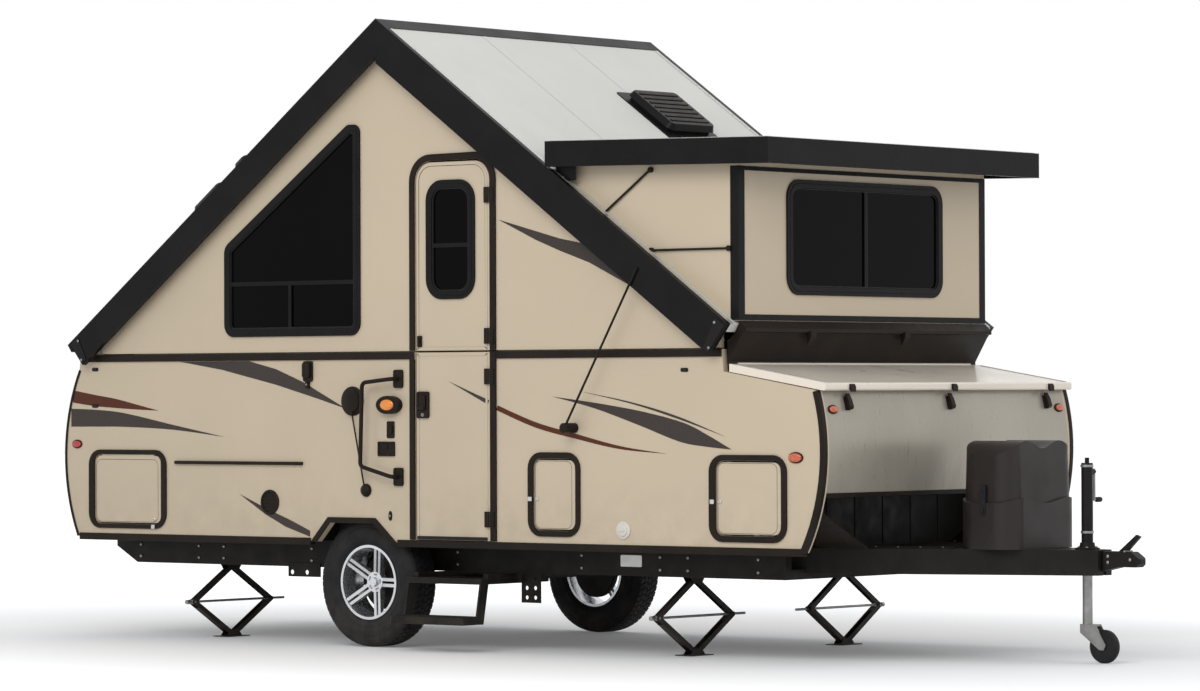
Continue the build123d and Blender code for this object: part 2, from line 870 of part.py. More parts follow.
# Dormer: a face with its window cut and a cheek each side, standing on the front roof panel
dormer_window_margin = 413
dormer_window_rise = 156
dormer_window_height = 536
dormer_window_width = 2 * (dormer_half_width - dormer_window_margin)
window_centre_z = dormer_sill_z + dormer_window_rise + dormer_window_height / 2
with BuildPart() as dormer_walls:
    with BuildSketch(yz(dormer_face_x - dormer_wall)):
        with BuildLine():
            Polyline(
                (-dormer_half_width, dormer_sill_z),
                (-dormer_half_width, hat_top(dormer_face_x) - hat_skin - seat),
                (dormer_half_width, hat_top(dormer_face_x) - hat_skin - seat),
                (dormer_half_width, dormer_sill_z),
                close=True,
            )
        make_face()
        with Locations((0, window_centre_z)):
            RectangleRounded(dormer_window_width, dormer_window_height, 70, mode=Mode.SUBTRACT)
    extrude(amount=dormer_wall)
    for low_y in (-dormer_half_width, dormer_half_width - dormer_wall):
        with BuildSketch(xz(low_y)):
            with BuildLine():
                Polyline(
                    (dormer_face_x - dormer_wall, dormer_sill_z),
                    (dormer_face_x - dormer_wall, hat_top(dormer_face_x) - hat_skin - seat),
                    (hat_rear_x + hat_skin + 20, hat_top(hat_rear_x + hat_skin + 20) - hat_skin - seat),
                    (hat_rear_x + hat_skin + 20, roof_z(hat_rear_x + hat_skin + 20) + seat),
                    (roof_x(dormer_sill_z, -seat, True), dormer_sill_z),
                    close=True,
                )
            make_face()
        extrude(amount=-dormer_wall)
save(dormer_walls.part, "dormer_walls")

# Dormer roof: a shallow tray turned over, its skirts hanging outside the edge boards
with BuildPart() as dormer_roof:
    with BuildSketch(xz(-hat_half_width)):
        with BuildLine():
            Polyline(
                (hat_rear_x, hat_rear_top),
                (hat_front_x, hat_front_top),
                (hat_front_x, hat_front_top - hat_depth),
                (hat_rear_x, hat_rear_top - hat_depth),
                close=True,
            )
        make_face()
    extrude(amount=-2 * hat_half_width)
    with BuildSketch(xz(-hat_half_width + hat_skin)):
        with BuildLine():
            Polyline(
                (hat_rear_x + hat_skin, hat_top(hat_rear_x) - hat_skin),
                (hat_front_x - hat_skin, hat_front_top - hat_skin),
                (hat_front_x - hat_skin, hat_front_top - 2 * hat_depth),
                (hat_rear_x + hat_skin, hat_rear_top - 2 * hat_depth),
                close=True,
            )
        make_face()
    extrude(amount=-2 * (hat_half_width - hat_skin), mode=Mode.SUBTRACT)
save(dormer_roof.part, "dormer_roof")

flange = 22
flange_proud = 8
sash = 14


def rounded_box(width, height, radius, centre):
    """A rounded rectangle outline that a window, door or hatch is made from."""
    with BuildSketch() as outline:
        with Locations(centre):
            RectangleRounded(width, height, radius)
    return outline.sketch


gable_window_x0 = -1952
gable_window_x1 = -1006
gable_window_shoulder = 56
gable_window_rise = 114
gable_window_low_drop = 346
gable_window_high_drop = 379
gable_window_split = 262
gable_window_post_x = -1492
gable_bar = 22
gable_window_bottom = belt_z + gable_window_rise


def gable_outline():
    """The gable window's outline, its long edge along the roof's slope."""
    shoulder_x = gable_window_x1 - gable_window_shoulder
    top_z = roof_z(shoulder_x) - gable_window_high_drop
    with BuildSketch() as outline:
        with BuildLine():
            Polyline(
                (gable_window_x0, gable_window_bottom),
                (gable_window_x0, roof_z(gable_window_x0) - gable_window_low_drop),
                (shoulder_x, top_z),
                (gable_window_x1, top_z),
                (gable_window_x1, gable_window_bottom),
                close=True,
            )
        make_face()
        fillet(outline.vertices().group_by(Axis.Y)[-1], 22)
        fillet(outline.vertices().group_by(Axis.Y)[0] + outline.vertices().sort_by(Axis.X)[:2], 45)
    return outline.sketch


def window_unit(plane, outward, depth, outline, bars):
    """A framed pane: the frame fills the wall's cut, its flange lies on the outer face."""
    daylight = grown(outline, -fit - sash)
    with BuildPart() as unit:
        with BuildSketch(plane):
            add(outline)
            offset(amount=-fit)
            add(daylight, mode=Mode.SUBTRACT)
        extrude(amount=-outward * depth)
        with BuildSketch(plane.offset(outward * seat)):
            add(grown(outline, flange))
            add(daylight, mode=Mode.SUBTRACT)
        extrude(amount=outward * flange_proud)
        with BuildSketch(plane):
            add(outline)
            offset(amount=-fit)
            add(daylight, mode=Mode.SUBTRACT)
        extrude(amount=outward * seat)
        with BuildSketch(plane.offset(-outward * 8)):
            add(outline)
            offset(amount=-fit)
        extrude(amount=outward * 5)
        for centre, size in bars:
            with BuildSketch(plane.offset(-outward * 8)):
                with Locations(centre):
                    Rectangle(*size)
            extrude(amount=outward * 12)
    return unit.part


save(
    window_unit(
        yz(dormer_face_x),
        1,
        dormer_wall,
        rounded_box(dormer_window_width, dormer_window_height, 70, (0, window_centre_z)),
        [((0, window_centre_z), (26, dormer_window_height - sash))],
    ),
    "dormer_window",
)

# Gable walls: they stand on the lower walls and fold inward about the belt
gable_bottom = belt_z + gable_gap
door_radius = 110
gable_bars = [
    (
        ((gable_window_x0 + gable_window_x1) / 2, gable_window_bottom + gable_window_split),
        (gable_window_x1 - gable_window_x0 - sash, gable_bar),
    ),
    (
        (gable_window_post_x, gable_window_bottom + gable_window_split / 2),
        (gable_bar, gable_window_split - sash),
    ),
]
upper_jamb_leaves = door_jamb_leaves("door_upper")
for side, name, low_z in ((-1, "curb", gable_bottom), (1, "off", gable_bottom + off_belt_step)):
    low_y = -body_half_width if side < 0 else inner_half_width
    under_roof = panel_thickness + gable_clearance
    rear_corner_x = roof_x(low_z + gable_corner, under_roof, False)
    front_corner_x = min(bulkhead_x - gap, roof_x(low_z + gable_corner, under_roof, True))
    with BuildPart() as gable:
        with BuildSketch(xz(low_y)):
            with BuildLine():
                Polyline(
                    (rear_corner_x, low_z),
                    (rear_corner_x, roof_z(rear_corner_x, under_roof)),
                    (ridge_x, roof_z(ridge_x, under_roof)),
                    (front_corner_x, roof_z(front_corner_x, under_roof)),
                    (front_corner_x, low_z),
                    close=True,
                )
            make_face()
            add(gable_outline(), mode=Mode.SUBTRACT)
            if side < 0:
                with Locations(((door_x0 + door_x1) / 2, (door_top + door_gap + low_z - 400) / 2)):
                    RectangleRounded(
                        door_x1 - door_x0 + 2 * door_gap,
                        door_top + door_gap - low_z + 400,
                        door_radius,
                        mode=Mode.SUBTRACT,
                    )
        extrude(amount=-wall)
        for x0, x1 in gable_hinge_spans[side]:
            with BuildSketch(yz(x0)):
                with Locations((side * inner_half_width, low_z + gable_hinge_radius)):
                    Circle(gable_hinge_radius)
            extrude(amount=x1 - x0)
        if side < 0:
            add(upper_jamb_leaves)
    save(gable.part, f"gable_wall_{name}")
    outer = xz(side * body_half_width)
    save(window_unit(outer, -side, wall, gable_outline(), gable_bars), f"gable_window_{name}")

# Entry door: a lower and an upper leaf, hinged together on the front jamb
lower_barrels = door_barrels("door_lower")
with BuildPart() as door_lower:
    with BuildSketch(xz(-body_half_width)):
        with Locations(((door_x0 + door_x1) / 2, (door_bottom + belt_z - 3) / 2)):
            Rectangle(door_x1 - door_x0, belt_z - 3 - door_bottom)
    extrude(amount=-wall)
    add(lower_barrels)
save(door_lower.part, "door_lower")

door_window_x = (door_x0 + door_x1) / 2 + door_window_shift
door_window_z = door_top - door_window_head - door_window_height / 2
door_window = rounded_box(door_window_width, door_window_height, 85, (door_window_x, door_window_z))
door_bar = ((door_window_x, door_window_z - 30), (door_window_width - sash, 20))
upper_barrels = door_barrels("door_upper")
with BuildPart() as door_upper:
    with BuildSketch(xz(-body_half_width)):
        with Locations(((door_x0 + door_x1) / 2, (door_top + gable_bottom - 400) / 2)):
            RectangleRounded(door_x1 - door_x0, door_top - gable_bottom + 400, door_radius - door_gap)
        with Locations(((door_x0 + door_x1) / 2, gable_bottom - 400)):
            Rectangle(door_x1 - door_x0 + door_gap, 800, mode=Mode.SUBTRACT)
        add(door_window, mode=Mode.SUBTRACT)
    extrude(amount=-wall)
    add(upper_barrels)
save(door_upper.part, "door_upper")
save(
    window_unit(xz(-body_half_width), 1, wall, door_window, [door_bar]),
    "door_window",
)

# Luggage hatches: flush leaves in the curb wall, the rear one hung from its top edge
hatch_hinge_radius = hypot(hatch_gap / 2, hatch_hinge_proud) - fit
for name, (x0, x1, z0, z1) in hatches.items():
    top_hung = name == "hatch_rear"
    with BuildPart() as hatch:
        with BuildSketch(xz(-body_half_width)):
            with Locations(((x0 + x1) / 2, (z0 + z1) / 2)):
                RectangleRounded(x1 - x0, z1 - z0, hatch_radius)
        extrude(amount=-hatch_thickness)
        hinge_length = (x1 - x0 if top_hung else z1 - z0) - 2 * hatch_radius - 20
        edge = z1 if top_hung else x1
        middle = (x0 + x1) / 2 if top_hung else (z0 + z1) / 2
        hinge_plane = Plane.YZ if top_hung else Plane(origin=(0, 0, 0), x_dir=(0, 1, 0), z_dir=(0, 0, 1))
        way = 1 if top_hung else -1
        with BuildSketch(hinge_plane.offset(middle - hinge_length / 2)):
            with Locations((-body_half_width - hatch_hinge_proud, way * (edge + hatch_gap / 2))):
                Circle(hatch_hinge_radius)
            leaf_centre = edge + hatch_gap / 4 - hatch_leaf_width / 2
            with Locations((-body_half_width - hatch_leaf / 2, way * leaf_centre)):
                Rectangle(hatch_leaf, hatch_leaf_width + hatch_gap / 2)
        extrude(amount=hinge_length)
    save(hatch.part, name)

# Trunk lid: a sloping tray over the front trunk, its hinge barrel along the rear top edge
lid_hinge_half_length = body_half_width - 79.5
with BuildPart() as trunk_lid:
    with BuildSketch(xz(-body_half_width + 6)):
        with BuildLine():
            Polyline(
                (lid_rear_x, lid_z(lid_rear_x)),
                (lid_front_x, lid_z(lid_front_x)),
                (lid_front_x, lid_z(lid_front_x) - lid_thickness),
                (lid_rear_x, lid_z(lid_rear_x) - lid_thickness),
                close=True,
            )
        make_face()
    extrude(amount=-2 * (body_half_width - 6))
    fillet(trunk_lid.edges().filter_by(Axis.Y).sort_by(Axis.X)[-2:], lid_edge_radius)
    with BuildSketch(xz(-lid_hinge_half_length)):
        with Locations((lid_rear_x, lid_rear_z)):
            Circle(lid_hinge_radius)
    extrude(amount=-2 * lid_hinge_half_length)
save(trunk_lid.part, "trunk_lid")

# Body trim: the sloping apron under the dormer's face, belt bands, wheel arch plates and corner strips
apron_half_width = dormer_half_width
apron_leaf = 14
apron_lip = 38
apron_rear_x = lid_rear_x - lid_hinge_radius - fit
trim = []
with BuildPart() as apron:
    with BuildSketch(xz(-apron_half_width)):
        with BuildLine():
            Polyline(
                (apron_rear_x - apron_leaf, lid_rear_z - lid_hinge_radius),
                (apron_rear_x, lid_rear_z - lid_hinge_radius),
                (apron_rear_x, lid_rear_z + apron_leaf),
                (dormer_face_x + 26, dormer_sill_z - 60),
                (dormer_face_x + 46, dormer_sill_z - 55),
                (dormer_face_x + 46, dormer_sill_z - apron_lip),
                (dormer_face_x + 6, dormer_sill_z - seat),
                (dormer_face_x, dormer_sill_z - seat),
                (dormer_face_x, dormer_sill_z - 16),
                (bulkhead_x + 66, dormer_sill_z - 63),
                (apron_rear_x - apron_leaf, dormer_sill_z - 100),
                close=True,
            )
        make_face()
    extrude(amount=-2 * apron_half_width)
trim.append(apron.part)
with BuildPart() as belt_curb:
    with BuildSketch(xz(-body_half_width - seat)):
        for x0, x1 in ((rear_top_x + 20, door_x0 - 40), (door_x1 + 45, bulkhead_x)):
            with Locations(((x0 + x1) / 2, belt_z - 19)):
                Rectangle(x1 - x0, 38)
    extrude(amount=trim_proud)
trim.append(belt_curb.part)
with BuildPart() as belt_off:
    with BuildSketch(xz(body_half_width + seat)):
        with Locations(((rear_top_x + 120 + bulkhead_x) / 2, belt_z + off_belt_step - 19)):
            Rectangle(bulkhead_x - rear_top_x - 120, 38)
    extrude(amount=-trim_proud)
trim.append(belt_off.part)
for side in (-1, 1):
    arch_edges = (arch_outline(0), arch_outline(arch_trim_width))
    with BuildPart() as arch:
        with BuildSketch(xz(side * (body_half_width + seat))):
            add(arch_edges[0])
            add(arch_edges[1], mode=Mode.SUBTRACT)
            with Locations((axle_x, skirt_bottom / 2)):
                Rectangle(4 * tyre_radius, skirt_bottom, mode=Mode.SUBTRACT)
        extrude(amount=-side * trim_proud)
    trim.append(arch.part)
    with BuildPart() as gravel_guard:
        with BuildSketch(yz(recess_x + gap)):
            with BuildLine():
                Polyline(
                    (side * (inner_half_width - seat), guard_top_z),
                    (side * (inner_half_width - seat), guard_top_z - 2 * guard_plate),
                    (side * guard_foot_y, cover_bottom),
                    (side * (guard_foot_y - guard_plate), cover_bottom + guard_plate),
                    close=True,
                )
            make_face()
        extrude(amount=guard_front_x - recess_x - gap)
    trim.append(gravel_guard.part)
save(Compound(children=trim), "body_trim")

# Side fittings: grab handle, porch lamp, awning rail, vents and the roof's stay rods
fittings = []
grab_x = door_x0 - 123
grab_top_z = 1420
grab_bottom_z = 905
grab_reach = 62
lamp_x = door_x0 - 177
lamp_z = 1283
awning_rail_x = -1878
awning_rail_z = 970
awning_rail_length = 950
with BuildPart() as grab_handle:
    with BuildLine() as grab_line:
        FilletPolyline(
            (grab_x, -body_half_width - 6, grab_top_z),
            (grab_x, -body_half_width - grab_reach, grab_top_z),
            (grab_x - 208, -body_half_width - grab_reach, grab_top_z - 20),
            (grab_x - 223, -body_half_width - grab_reach, grab_bottom_z + 55),
            (grab_x, -body_half_width - grab_reach, grab_bottom_z),
            (grab_x, -body_half_width - 6, grab_bottom_z),
            radius=28,
        )
    with BuildSketch(Plane(origin=grab_line.line @ 0, z_dir=grab_line.line % 0)):
        Circle(11)
    sweep()
    with BuildSketch(xz(-body_half_width - seat)):
        with Locations((grab_x, grab_top_z), (grab_x, grab_bottom_z)):
            RectangleRounded(62, 96, 12)
    extrude(amount=14)
fittings.append(grab_handle.part)
with BuildPart() as porch_lamp:
    with BuildSketch(xz(-body_half_width - seat)):
        with Locations((lamp_x, lamp_z)):
            Ellipse(78, 48)
    extrude(amount=38)
fittings.append(porch_lamp.part)
with BuildPart() as awning_rail:
    with BuildSketch(xz(-body_half_width - seat)):
        with Locations((awning_rail_x, awning_rail_z)):
            Rectangle(awning_rail_length, 18)
    extrude(amount=14)
fittings.append(awning_rail.part)
stay_y = -panel_half_width - board_thickness - 8
stay_foot = (487, stay_y, 1165)
stay_head = (964, stay_y, 1970)
with BuildPart() as stay_rod:
    with BuildLine() as stay_line:
        Line(stay_foot, stay_head)
    with BuildSketch(Plane(origin=stay_line.line @ 0, z_dir=stay_line.line % 0)):
        Circle(6)
    sweep()
    with BuildSketch(xz(-body_half_width - seat)):
        with Locations((stay_foot[0], stay_foot[2])):
            Circle(26)
    extrude(amount=-stay_y - body_half_width + 8)
fittings.append(stay_rod.part)
save(Compound(children=fittings), "side_fittings")

# Tongue jack: fixed tube, sliding leg with its fork, and the wheel
caster_pin_z = caster_radius
with BuildPart() as tongue_jack_tube:
    with BuildSketch(Plane.XY.offset(tongue_rail_bottom + 4)):
        with Locations((tongue_jack_x, 0)):
            Circle(jack_tube_radius)
    extrude(amount=jack_tube_top - tongue_rail_bottom - 4)
    with BuildSketch(Plane.XY.offset(tongue_rail_top + deck_thickness + seat)):
        with Locations((tongue_jack_x, 0)):
            Circle(52)
    extrude(amount=10)
    with BuildSketch(Plane.XY.offset(tongue_rail_bottom)):
        with Locations((tongue_jack_x, 0)):
            Circle(jack_leg_radius + fit)
    extrude(amount=jack_tube_top - tongue_rail_bottom - jack_tube_cap, mode=Mode.SUBTRACT)
    with BuildSketch(Plane.XY.offset(jack_tube_top)):
        with Locations((tongue_jack_x, 0)):
            Circle(11)
    extrude(amount=26)
save(tongue_jack_tube.part, "tongue_jack_tube")

leg_bottom = 190
leg_top = jack_tube_top - jack_tube_cap - jack_lift - 2 * gap
fork_thickness = 6
caster_width = 36
with BuildPart() as jack_leg:
    with BuildSketch(Plane.XY.offset(leg_bottom)):
        with Locations((tongue_jack_x, 0)):
            Circle(jack_leg_radius)
    extrude(amount=leg_top - leg_bottom)
    for side in (-1, 1):
        cheek_y = side * (caster_width / 2 + 3) - (fork_thickness if side < 0 else 0)
        with BuildSketch(xz(cheek_y)):
            with BuildLine():
                Polyline(
                    (tongue_jack_x - 28, leg_bottom),
                    (tongue_jack_x + 62, leg_bottom),
                    (caster_x + 22, caster_pin_z + 8),
                    (caster_x + 10, caster_pin_z - 18),
                    (caster_x - 16, caster_pin_z - 16),
                    (tongue_jack_x - 28, leg_bottom - 40),
                    close=True,
                )
            make_face()
        extrude(amount=-fork_thickness)
    with BuildSketch(Plane.XY.offset(leg_bottom - 8)):
        with Locations((tongue_jack_x + 17, 0)):
            Rectangle(90, caster_width + 6 + 2 * fork_thickness)
    extrude(amount=10)
    with BuildSketch(xz(-caster_width / 2 - 5)):
        with Locations((caster_x, caster_pin_z)):
            Circle(8)
    extrude(amount=-caster_width - 10)
save(jack_leg.part, "jack_leg")

with BuildPart() as jack_wheel:
    with BuildSketch(xz(-caster_width / 2)):
        with Locations((caster_x, caster_pin_z)):
            Circle(caster_radius)
            Circle(8 + fit, mode=Mode.SUBTRACT)
    extrude(amount=-caster_width)
    chamfer(jack_wheel.edges().filter_by(GeomType.CIRCLE).sort_by(SortBy.RADIUS)[-2:], 9)
save(jack_wheel.part, "jack_wheel")

# Entry step: two treads on one bent frame that slides in under the floor on runners
step_x = (step_x0 + step_x1) / 2
step_length = step_x1 - step_x0
with BuildPart() as entry_step:
    with BuildSketch(Plane.XY.offset(step_top_z - step_depth)):
        with Locations((step_x, (step_upper_y + step_inner_y) / 2)):
            Rectangle(step_length, step_inner_y - step_upper_y)
            Rectangle(step_length - 60, step_inner_y - step_upper_y - 60, mode=Mode.SUBTRACT)
    extrude(amount=step_depth)
    with BuildSketch(Plane.XY.offset(step_top_z - 4)):
        with Locations((step_x, step_upper_y + 110)):
            Rectangle(step_length, 220)
    extrude(amount=4)
    with BuildSketch(Plane.XY.offset(step_low_z)):
        with Locations((step_x, step_low_y + step_tread_width / 2)):
            RectangleRounded(step_length, step_tread_width, 20)
    extrude(amount=step_thickness)
    for x in (step_x0, step_x1 - step_bar):
        with BuildSketch(yz(x)):
            with BuildLine():
                Polyline(
                    (step_upper_y, step_top_z - step_depth),
                    (step_upper_y + 60, step_top_z - step_depth),
                    (step_low_y + step_tread_width - 10, step_low_z),
                    (step_low_y + 25, step_low_z),
                    (step_low_y + 25, step_low_z + step_thickness),
                    (step_low_y + step_tread_width - 60, step_low_z + step_thickness),
                    close=True,
                )
            make_face()
        extrude(amount=step_bar)
save(entry_step.part, "entry_step")

# Road wheels: a tyre of revolution on a rim with five spokes
for side, name in ((-1, "curb"), (1, "off")):
    centre_y = side * track / 2
    wheel_plane = Plane(origin=(axle_x, centre_y, tyre_radius), x_dir=(1, 0, 0), z_dir=(0, side, 0))
    section = Plane(origin=(axle_x, centre_y, tyre_radius), x_dir=(0, side, 0), z_dir=(-side, 0, 0))
    hub_axis = Axis((axle_x, centre_y, tyre_radius), (0, side, 0))
    with BuildPart() as tyre:
        with BuildSketch(section):
            with BuildLine():
                Polyline(
                    (-rim_width / 2 + 12, rim_radius + seat),
                    (-tyre_width / 2, (rim_radius + tyre_radius) / 2),
                    (-tyre_width / 2 + 22, tyre_radius),
                    (tyre_width / 2 - 22, tyre_radius),
                    (tyre_width / 2, (rim_radius + tyre_radius) / 2),
                    (rim_width / 2 - 12, rim_radius + seat),
                    close=True,
                )
            make_face()
        revolve(axis=hub_axis)
    save(tyre.part, f"tyre_{name}")
    with BuildPart() as rim:
        with BuildSketch(section):
            with BuildLine():
                Polyline(
                    (-rim_width / 2, rim_radius + rim_flange),
                    (-rim_width / 2, rim_radius - 8),
                    (0, rim_radius - 22),
                    (rim_width / 2, rim_radius - 8),
                    (rim_width / 2, rim_radius + rim_flange),
                    (rim_width / 2 - 10, rim_radius - seat),
                    (-rim_width / 2 + 10, rim_radius - seat),
                    close=True,
                )
            make_face()
        revolve(axis=hub_axis)
        with BuildSketch(wheel_plane.offset(hub_face - hub_thickness)):
            Circle(hub_radius)
            with PolarLocations(0, spoke_count):
                with Locations((rim_radius / 2, -spoke_spacing / 2), (rim_radius / 2, spoke_spacing / 2)):
                    Rectangle(rim_radius - 16, spoke_width)
        extrude(amount=hub_thickness + rim_dish - 8)
        with BuildSketch(section):
            with BuildLine():
                Polyline(
                    (hub_face, 0),
                    (hub_face, hub_radius),
                    (rim_width / 2 - 10, rim_radius - 12),
                    (rim_width / 2 + 10, rim_radius - 12),
                    (rim_width / 2 + 10, 0),
                    close=True,
                )
            make_face()
            with BuildLine():
                Polyline(
                    (hub_face - hub_thickness - 1, hub_radius),
                    (rim_width / 2 - 38, rim_radius - 24),
                    (hub_face - hub_thickness - 1, rim_radius - 24),
                    close=True,
                )
            make_face()
        revolve(axis=hub_axis, mode=Mode.SUBTRACT)
        with BuildSketch(wheel_plane.offset(hub_face)):
            Circle(hub_cap_radius)
        extrude(amount=14, taper=15)
        with BuildSketch(wheel_plane.offset(hub_face)):
            with PolarLocations(lug_circle, spoke_count):
                Circle(lug_radius)
        extrude(amount=-12, mode=Mode.SUBTRACT)
        with BuildSketch(wheel_plane.offset(hub_face - hub_thickness)):
            Circle(spindle_radius + fit)
        extrude(amount=hub_thickness - hub_cap, mode=Mode.SUBTRACT)
    save(rim.part, f"rim_{name}")


def arm(origin, outboard, down, way, half_width, web_side):
    """A channel arm of a scissor jack: two cheeks with pin holes and a web between them."""
    x, y, z = origin
    along = (0, outboard * cos(radians(arm_angle)) * way, -down * sin(radians(arm_angle)))
    base = Plane(origin=(x - half_width, y, z), x_dir=along, z_dir=(1, 0, 0))
    with BuildPart() as piece:
        for start in (0, 2 * half_width - arm_plate):
            with BuildSketch(base.offset(start)):
                with Locations((arm_length / 2, 0)):
                    SlotCenterToCenter(arm_length, 2 * arm_half_height)
                with Locations((0, 0), (arm_length, 0)):
                    Circle(pin_radius + fit, mode=Mode.SUBTRACT)
            extrude(amount=arm_plate)
        with BuildSketch(base.offset(arm_plate)):
            with Locations((arm_length / 2, web_side * (arm_half_height - 2))):
                Rectangle(arm_length - 90, 4)
        extrude(amount=2 * (half_width - arm_plate))
    return piece.part


# Four scissor jacks, each of two upper arms, two lower arms, a foot and a screw
span = arm_length * cos(radians(arm_angle))
drop = arm_length * sin(radians(arm_angle))
screw_radius = 6.5
screw_tail = 14
screw_head = 42
screw_nut_radius = 13
screw_nut = 22
screw_length = 2 * (arm_length + jack_pivot_half_gap) + screw_tail
for end, jack_x in jack_xs.items():
    for side, side_name in ((-1, "curb"), (1, "off")):
        centre = side * jack_y
        jack_name = f"jack_{end}_{side_name}"
        for way, arm_name in ((1, "outer"), (-1, "inner")):
            top = (jack_x, centre + side * way * jack_pivot_half_gap, jack_top_z)
            knuckle_y = centre + side * way * (jack_pivot_half_gap + span)
            knuckle = (jack_x, knuckle_y, jack_top_z - drop)
            foot = (jack_x, top[1], jack_top_z - 2 * drop)
            upper = arm(top, side, 1, way, upper_arm_half_width, side * way)
            lower = arm(foot, side, -1, way, lower_arm_half_width, -side * way)
            if way < 0:
                with BuildPart() as knuckle_pins:
                    for start in (-lower_arm_half_width - 2, 8):
                        with BuildSketch(Plane.YZ.offset(jack_x + start)):
                            with Locations((knuckle_y, knuckle[2])):
                                Circle(pin_radius)
                        extrude(amount=lower_arm_half_width + 2 - 8)
                    for start in (-upper_arm_half_width + arm_plate, 8):
                        with BuildSketch(Plane.YZ.offset(jack_x + start)):
                            with Locations((knuckle_y, knuckle[2])):
                                Circle(arm_half_height)
                        extrude(amount=upper_arm_half_width - arm_plate - 8)
                upper = upper + knuckle_pins.part
            save(upper, f"{jack_name}_upper_{arm_name}")
            save(lower, f"{jack_name}_lower_{arm_name}")
        knuckle_y = centre + side * (jack_pivot_half_gap + span)
        screw_z = jack_top_z - drop
        with BuildPart() as screw:
            with BuildSketch(Plane(origin=(jack_x, knuckle_y, screw_z), x_dir=(1, 0, 0), z_dir=(0, -side, 0))):
                Circle(screw_radius)
            extrude(amount=screw_length)
            head_plane = Plane(origin=(jack_x, knuckle_y, screw_z), x_dir=(1, 0, 0), z_dir=(0, side, 0))
            with BuildSketch(head_plane):
                Circle(screw_radius)
            extrude(amount=screw_head)
            with BuildSketch(head_plane.offset(screw_head - 14)):
                RegularPolygon(screw_nut_radius, 6)
            extrude(amount=screw_nut)
            with BuildSketch(Plane.YZ.offset(jack_x - upper_arm_half_width + arm_plate + 1)):
                with Locations((knuckle_y, screw_z)):
                    Circle(arm_half_height)
            extrude(amount=2 * (upper_arm_half_width - arm_plate - 1))
            with BuildSketch(Plane.YZ.offset(jack_x - lower_arm_half_width - 2)):
                with Locations((knuckle_y, screw_z)):
                    Circle(pin_radius)
            extrude(amount=2 * (lower_arm_half_width + 2))
        save(screw.part, f"{jack_name}_screw")
        with BuildPart() as pad:
            with BuildSketch(Plane.XY.offset(pad_clearance)):
                with Locations((jack_x, centre)):
                    RectangleRounded(120, 190, 16)
            extrude(amount=4)
            for start in (-bracket_half_width, bracket_half_width - arm_plate):
                with BuildSketch(Plane.YZ.offset(jack_x + start)):
                    with BuildLine():
                        Polyline(
                            (centre - 60, pad_clearance + 4),
                            (centre - 34, pad_clearance + pad_pivot_height + 12),
                            (centre + 34, pad_clearance + pad_pivot_height + 12),
                            (centre + 60, pad_clearance + 4),
                            close=True,
                        )
                    make_face()
                extrude(amount=arm_plate)
            with BuildSketch(Plane.YZ.offset(jack_x - bracket_half_width)):
                with Locations(
                    (centre - jack_pivot_half_gap, pad_clearance + pad_pivot_height),
                    (centre + jack_pivot_half_gap, pad_clearance + pad_pivot_height),
                ):
                    Circle(pin_radius)
            extrude(amount=2 * bracket_half_width)
        save(pad.part, f"{jack_name}_pad")
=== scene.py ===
import json
from cmath import phase, rect
from math import cos, hypot, pi, radians, sin, sqrt, tan

import bmesh
import bpy
from mathutils import Matrix, Vector


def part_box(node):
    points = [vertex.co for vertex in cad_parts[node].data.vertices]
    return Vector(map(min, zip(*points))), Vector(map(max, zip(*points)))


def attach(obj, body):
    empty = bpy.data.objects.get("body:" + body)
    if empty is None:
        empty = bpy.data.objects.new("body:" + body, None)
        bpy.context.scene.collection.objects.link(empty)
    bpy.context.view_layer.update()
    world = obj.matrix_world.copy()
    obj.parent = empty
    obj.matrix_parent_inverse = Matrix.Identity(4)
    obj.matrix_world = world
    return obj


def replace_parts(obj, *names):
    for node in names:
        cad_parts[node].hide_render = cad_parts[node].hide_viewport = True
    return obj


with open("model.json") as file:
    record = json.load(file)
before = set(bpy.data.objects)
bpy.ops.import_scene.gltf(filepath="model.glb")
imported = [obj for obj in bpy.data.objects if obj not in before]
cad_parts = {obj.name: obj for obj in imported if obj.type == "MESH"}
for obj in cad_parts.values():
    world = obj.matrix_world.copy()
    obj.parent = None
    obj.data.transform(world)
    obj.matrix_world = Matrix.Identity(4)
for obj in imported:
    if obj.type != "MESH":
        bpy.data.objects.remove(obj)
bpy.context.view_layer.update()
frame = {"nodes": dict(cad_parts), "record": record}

NODES = frame["nodes"]
X, Y, Z = Vector((1, 0, 0)), Vector((0, 1, 0)), Vector((0, 0, 1))
SIDES = ((-1, "curb"), (1, "off"))

# Sizes in metres, read from the frame or the same as the source's
WALL_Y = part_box("side_wall_off")[1].y
SKIRT_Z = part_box("side_wall_curb")[0].z
FACE_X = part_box("dormer_walls")[1].x
CHEEK_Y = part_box("dormer_walls")[1].y
BOARD_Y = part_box("roof_trim_and_vents")[1].y
HAT_LOW, HAT_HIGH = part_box("dormer_roof")
DECK_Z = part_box("chassis_frame")[1].z
RAIL_Y = 0.8
JACK_TUBE_X = 2.888
RIDGE = (-0.808, 3.311)
REAR_EAVE = (-3.105, 1.624)
FRONT_EAVE = (1.5295, 1.6805)
REAR_ARC = ((-3.119, 0.555), (-3.213, 1.085), (-3.103, 1.48))
FRONT_ARC = ((1.951, 0.555), (2.075, 1.02), (2.031, 1.3517))
PANEL_ARC = ((2.045, 0.83), (2.074, 1.08), (2.031, 1.3517))
ARCH_FEET = (-1.343, -0.727)
# The gap under a fitting, which keeps its back from lying in the wall's own face
HAIR = 0.0004

# Camera: solved from the photograph's corners
SENSOR_WIDTH, LENS, SIGHT = 36.0, 143.493, 200.0
CAMERA_PLACE = (16.087, -19.812, 1.354)
AZIMUTH, ELEVATION, ROLL = radians(39.48), radians(-0.542), radians(-0.19)


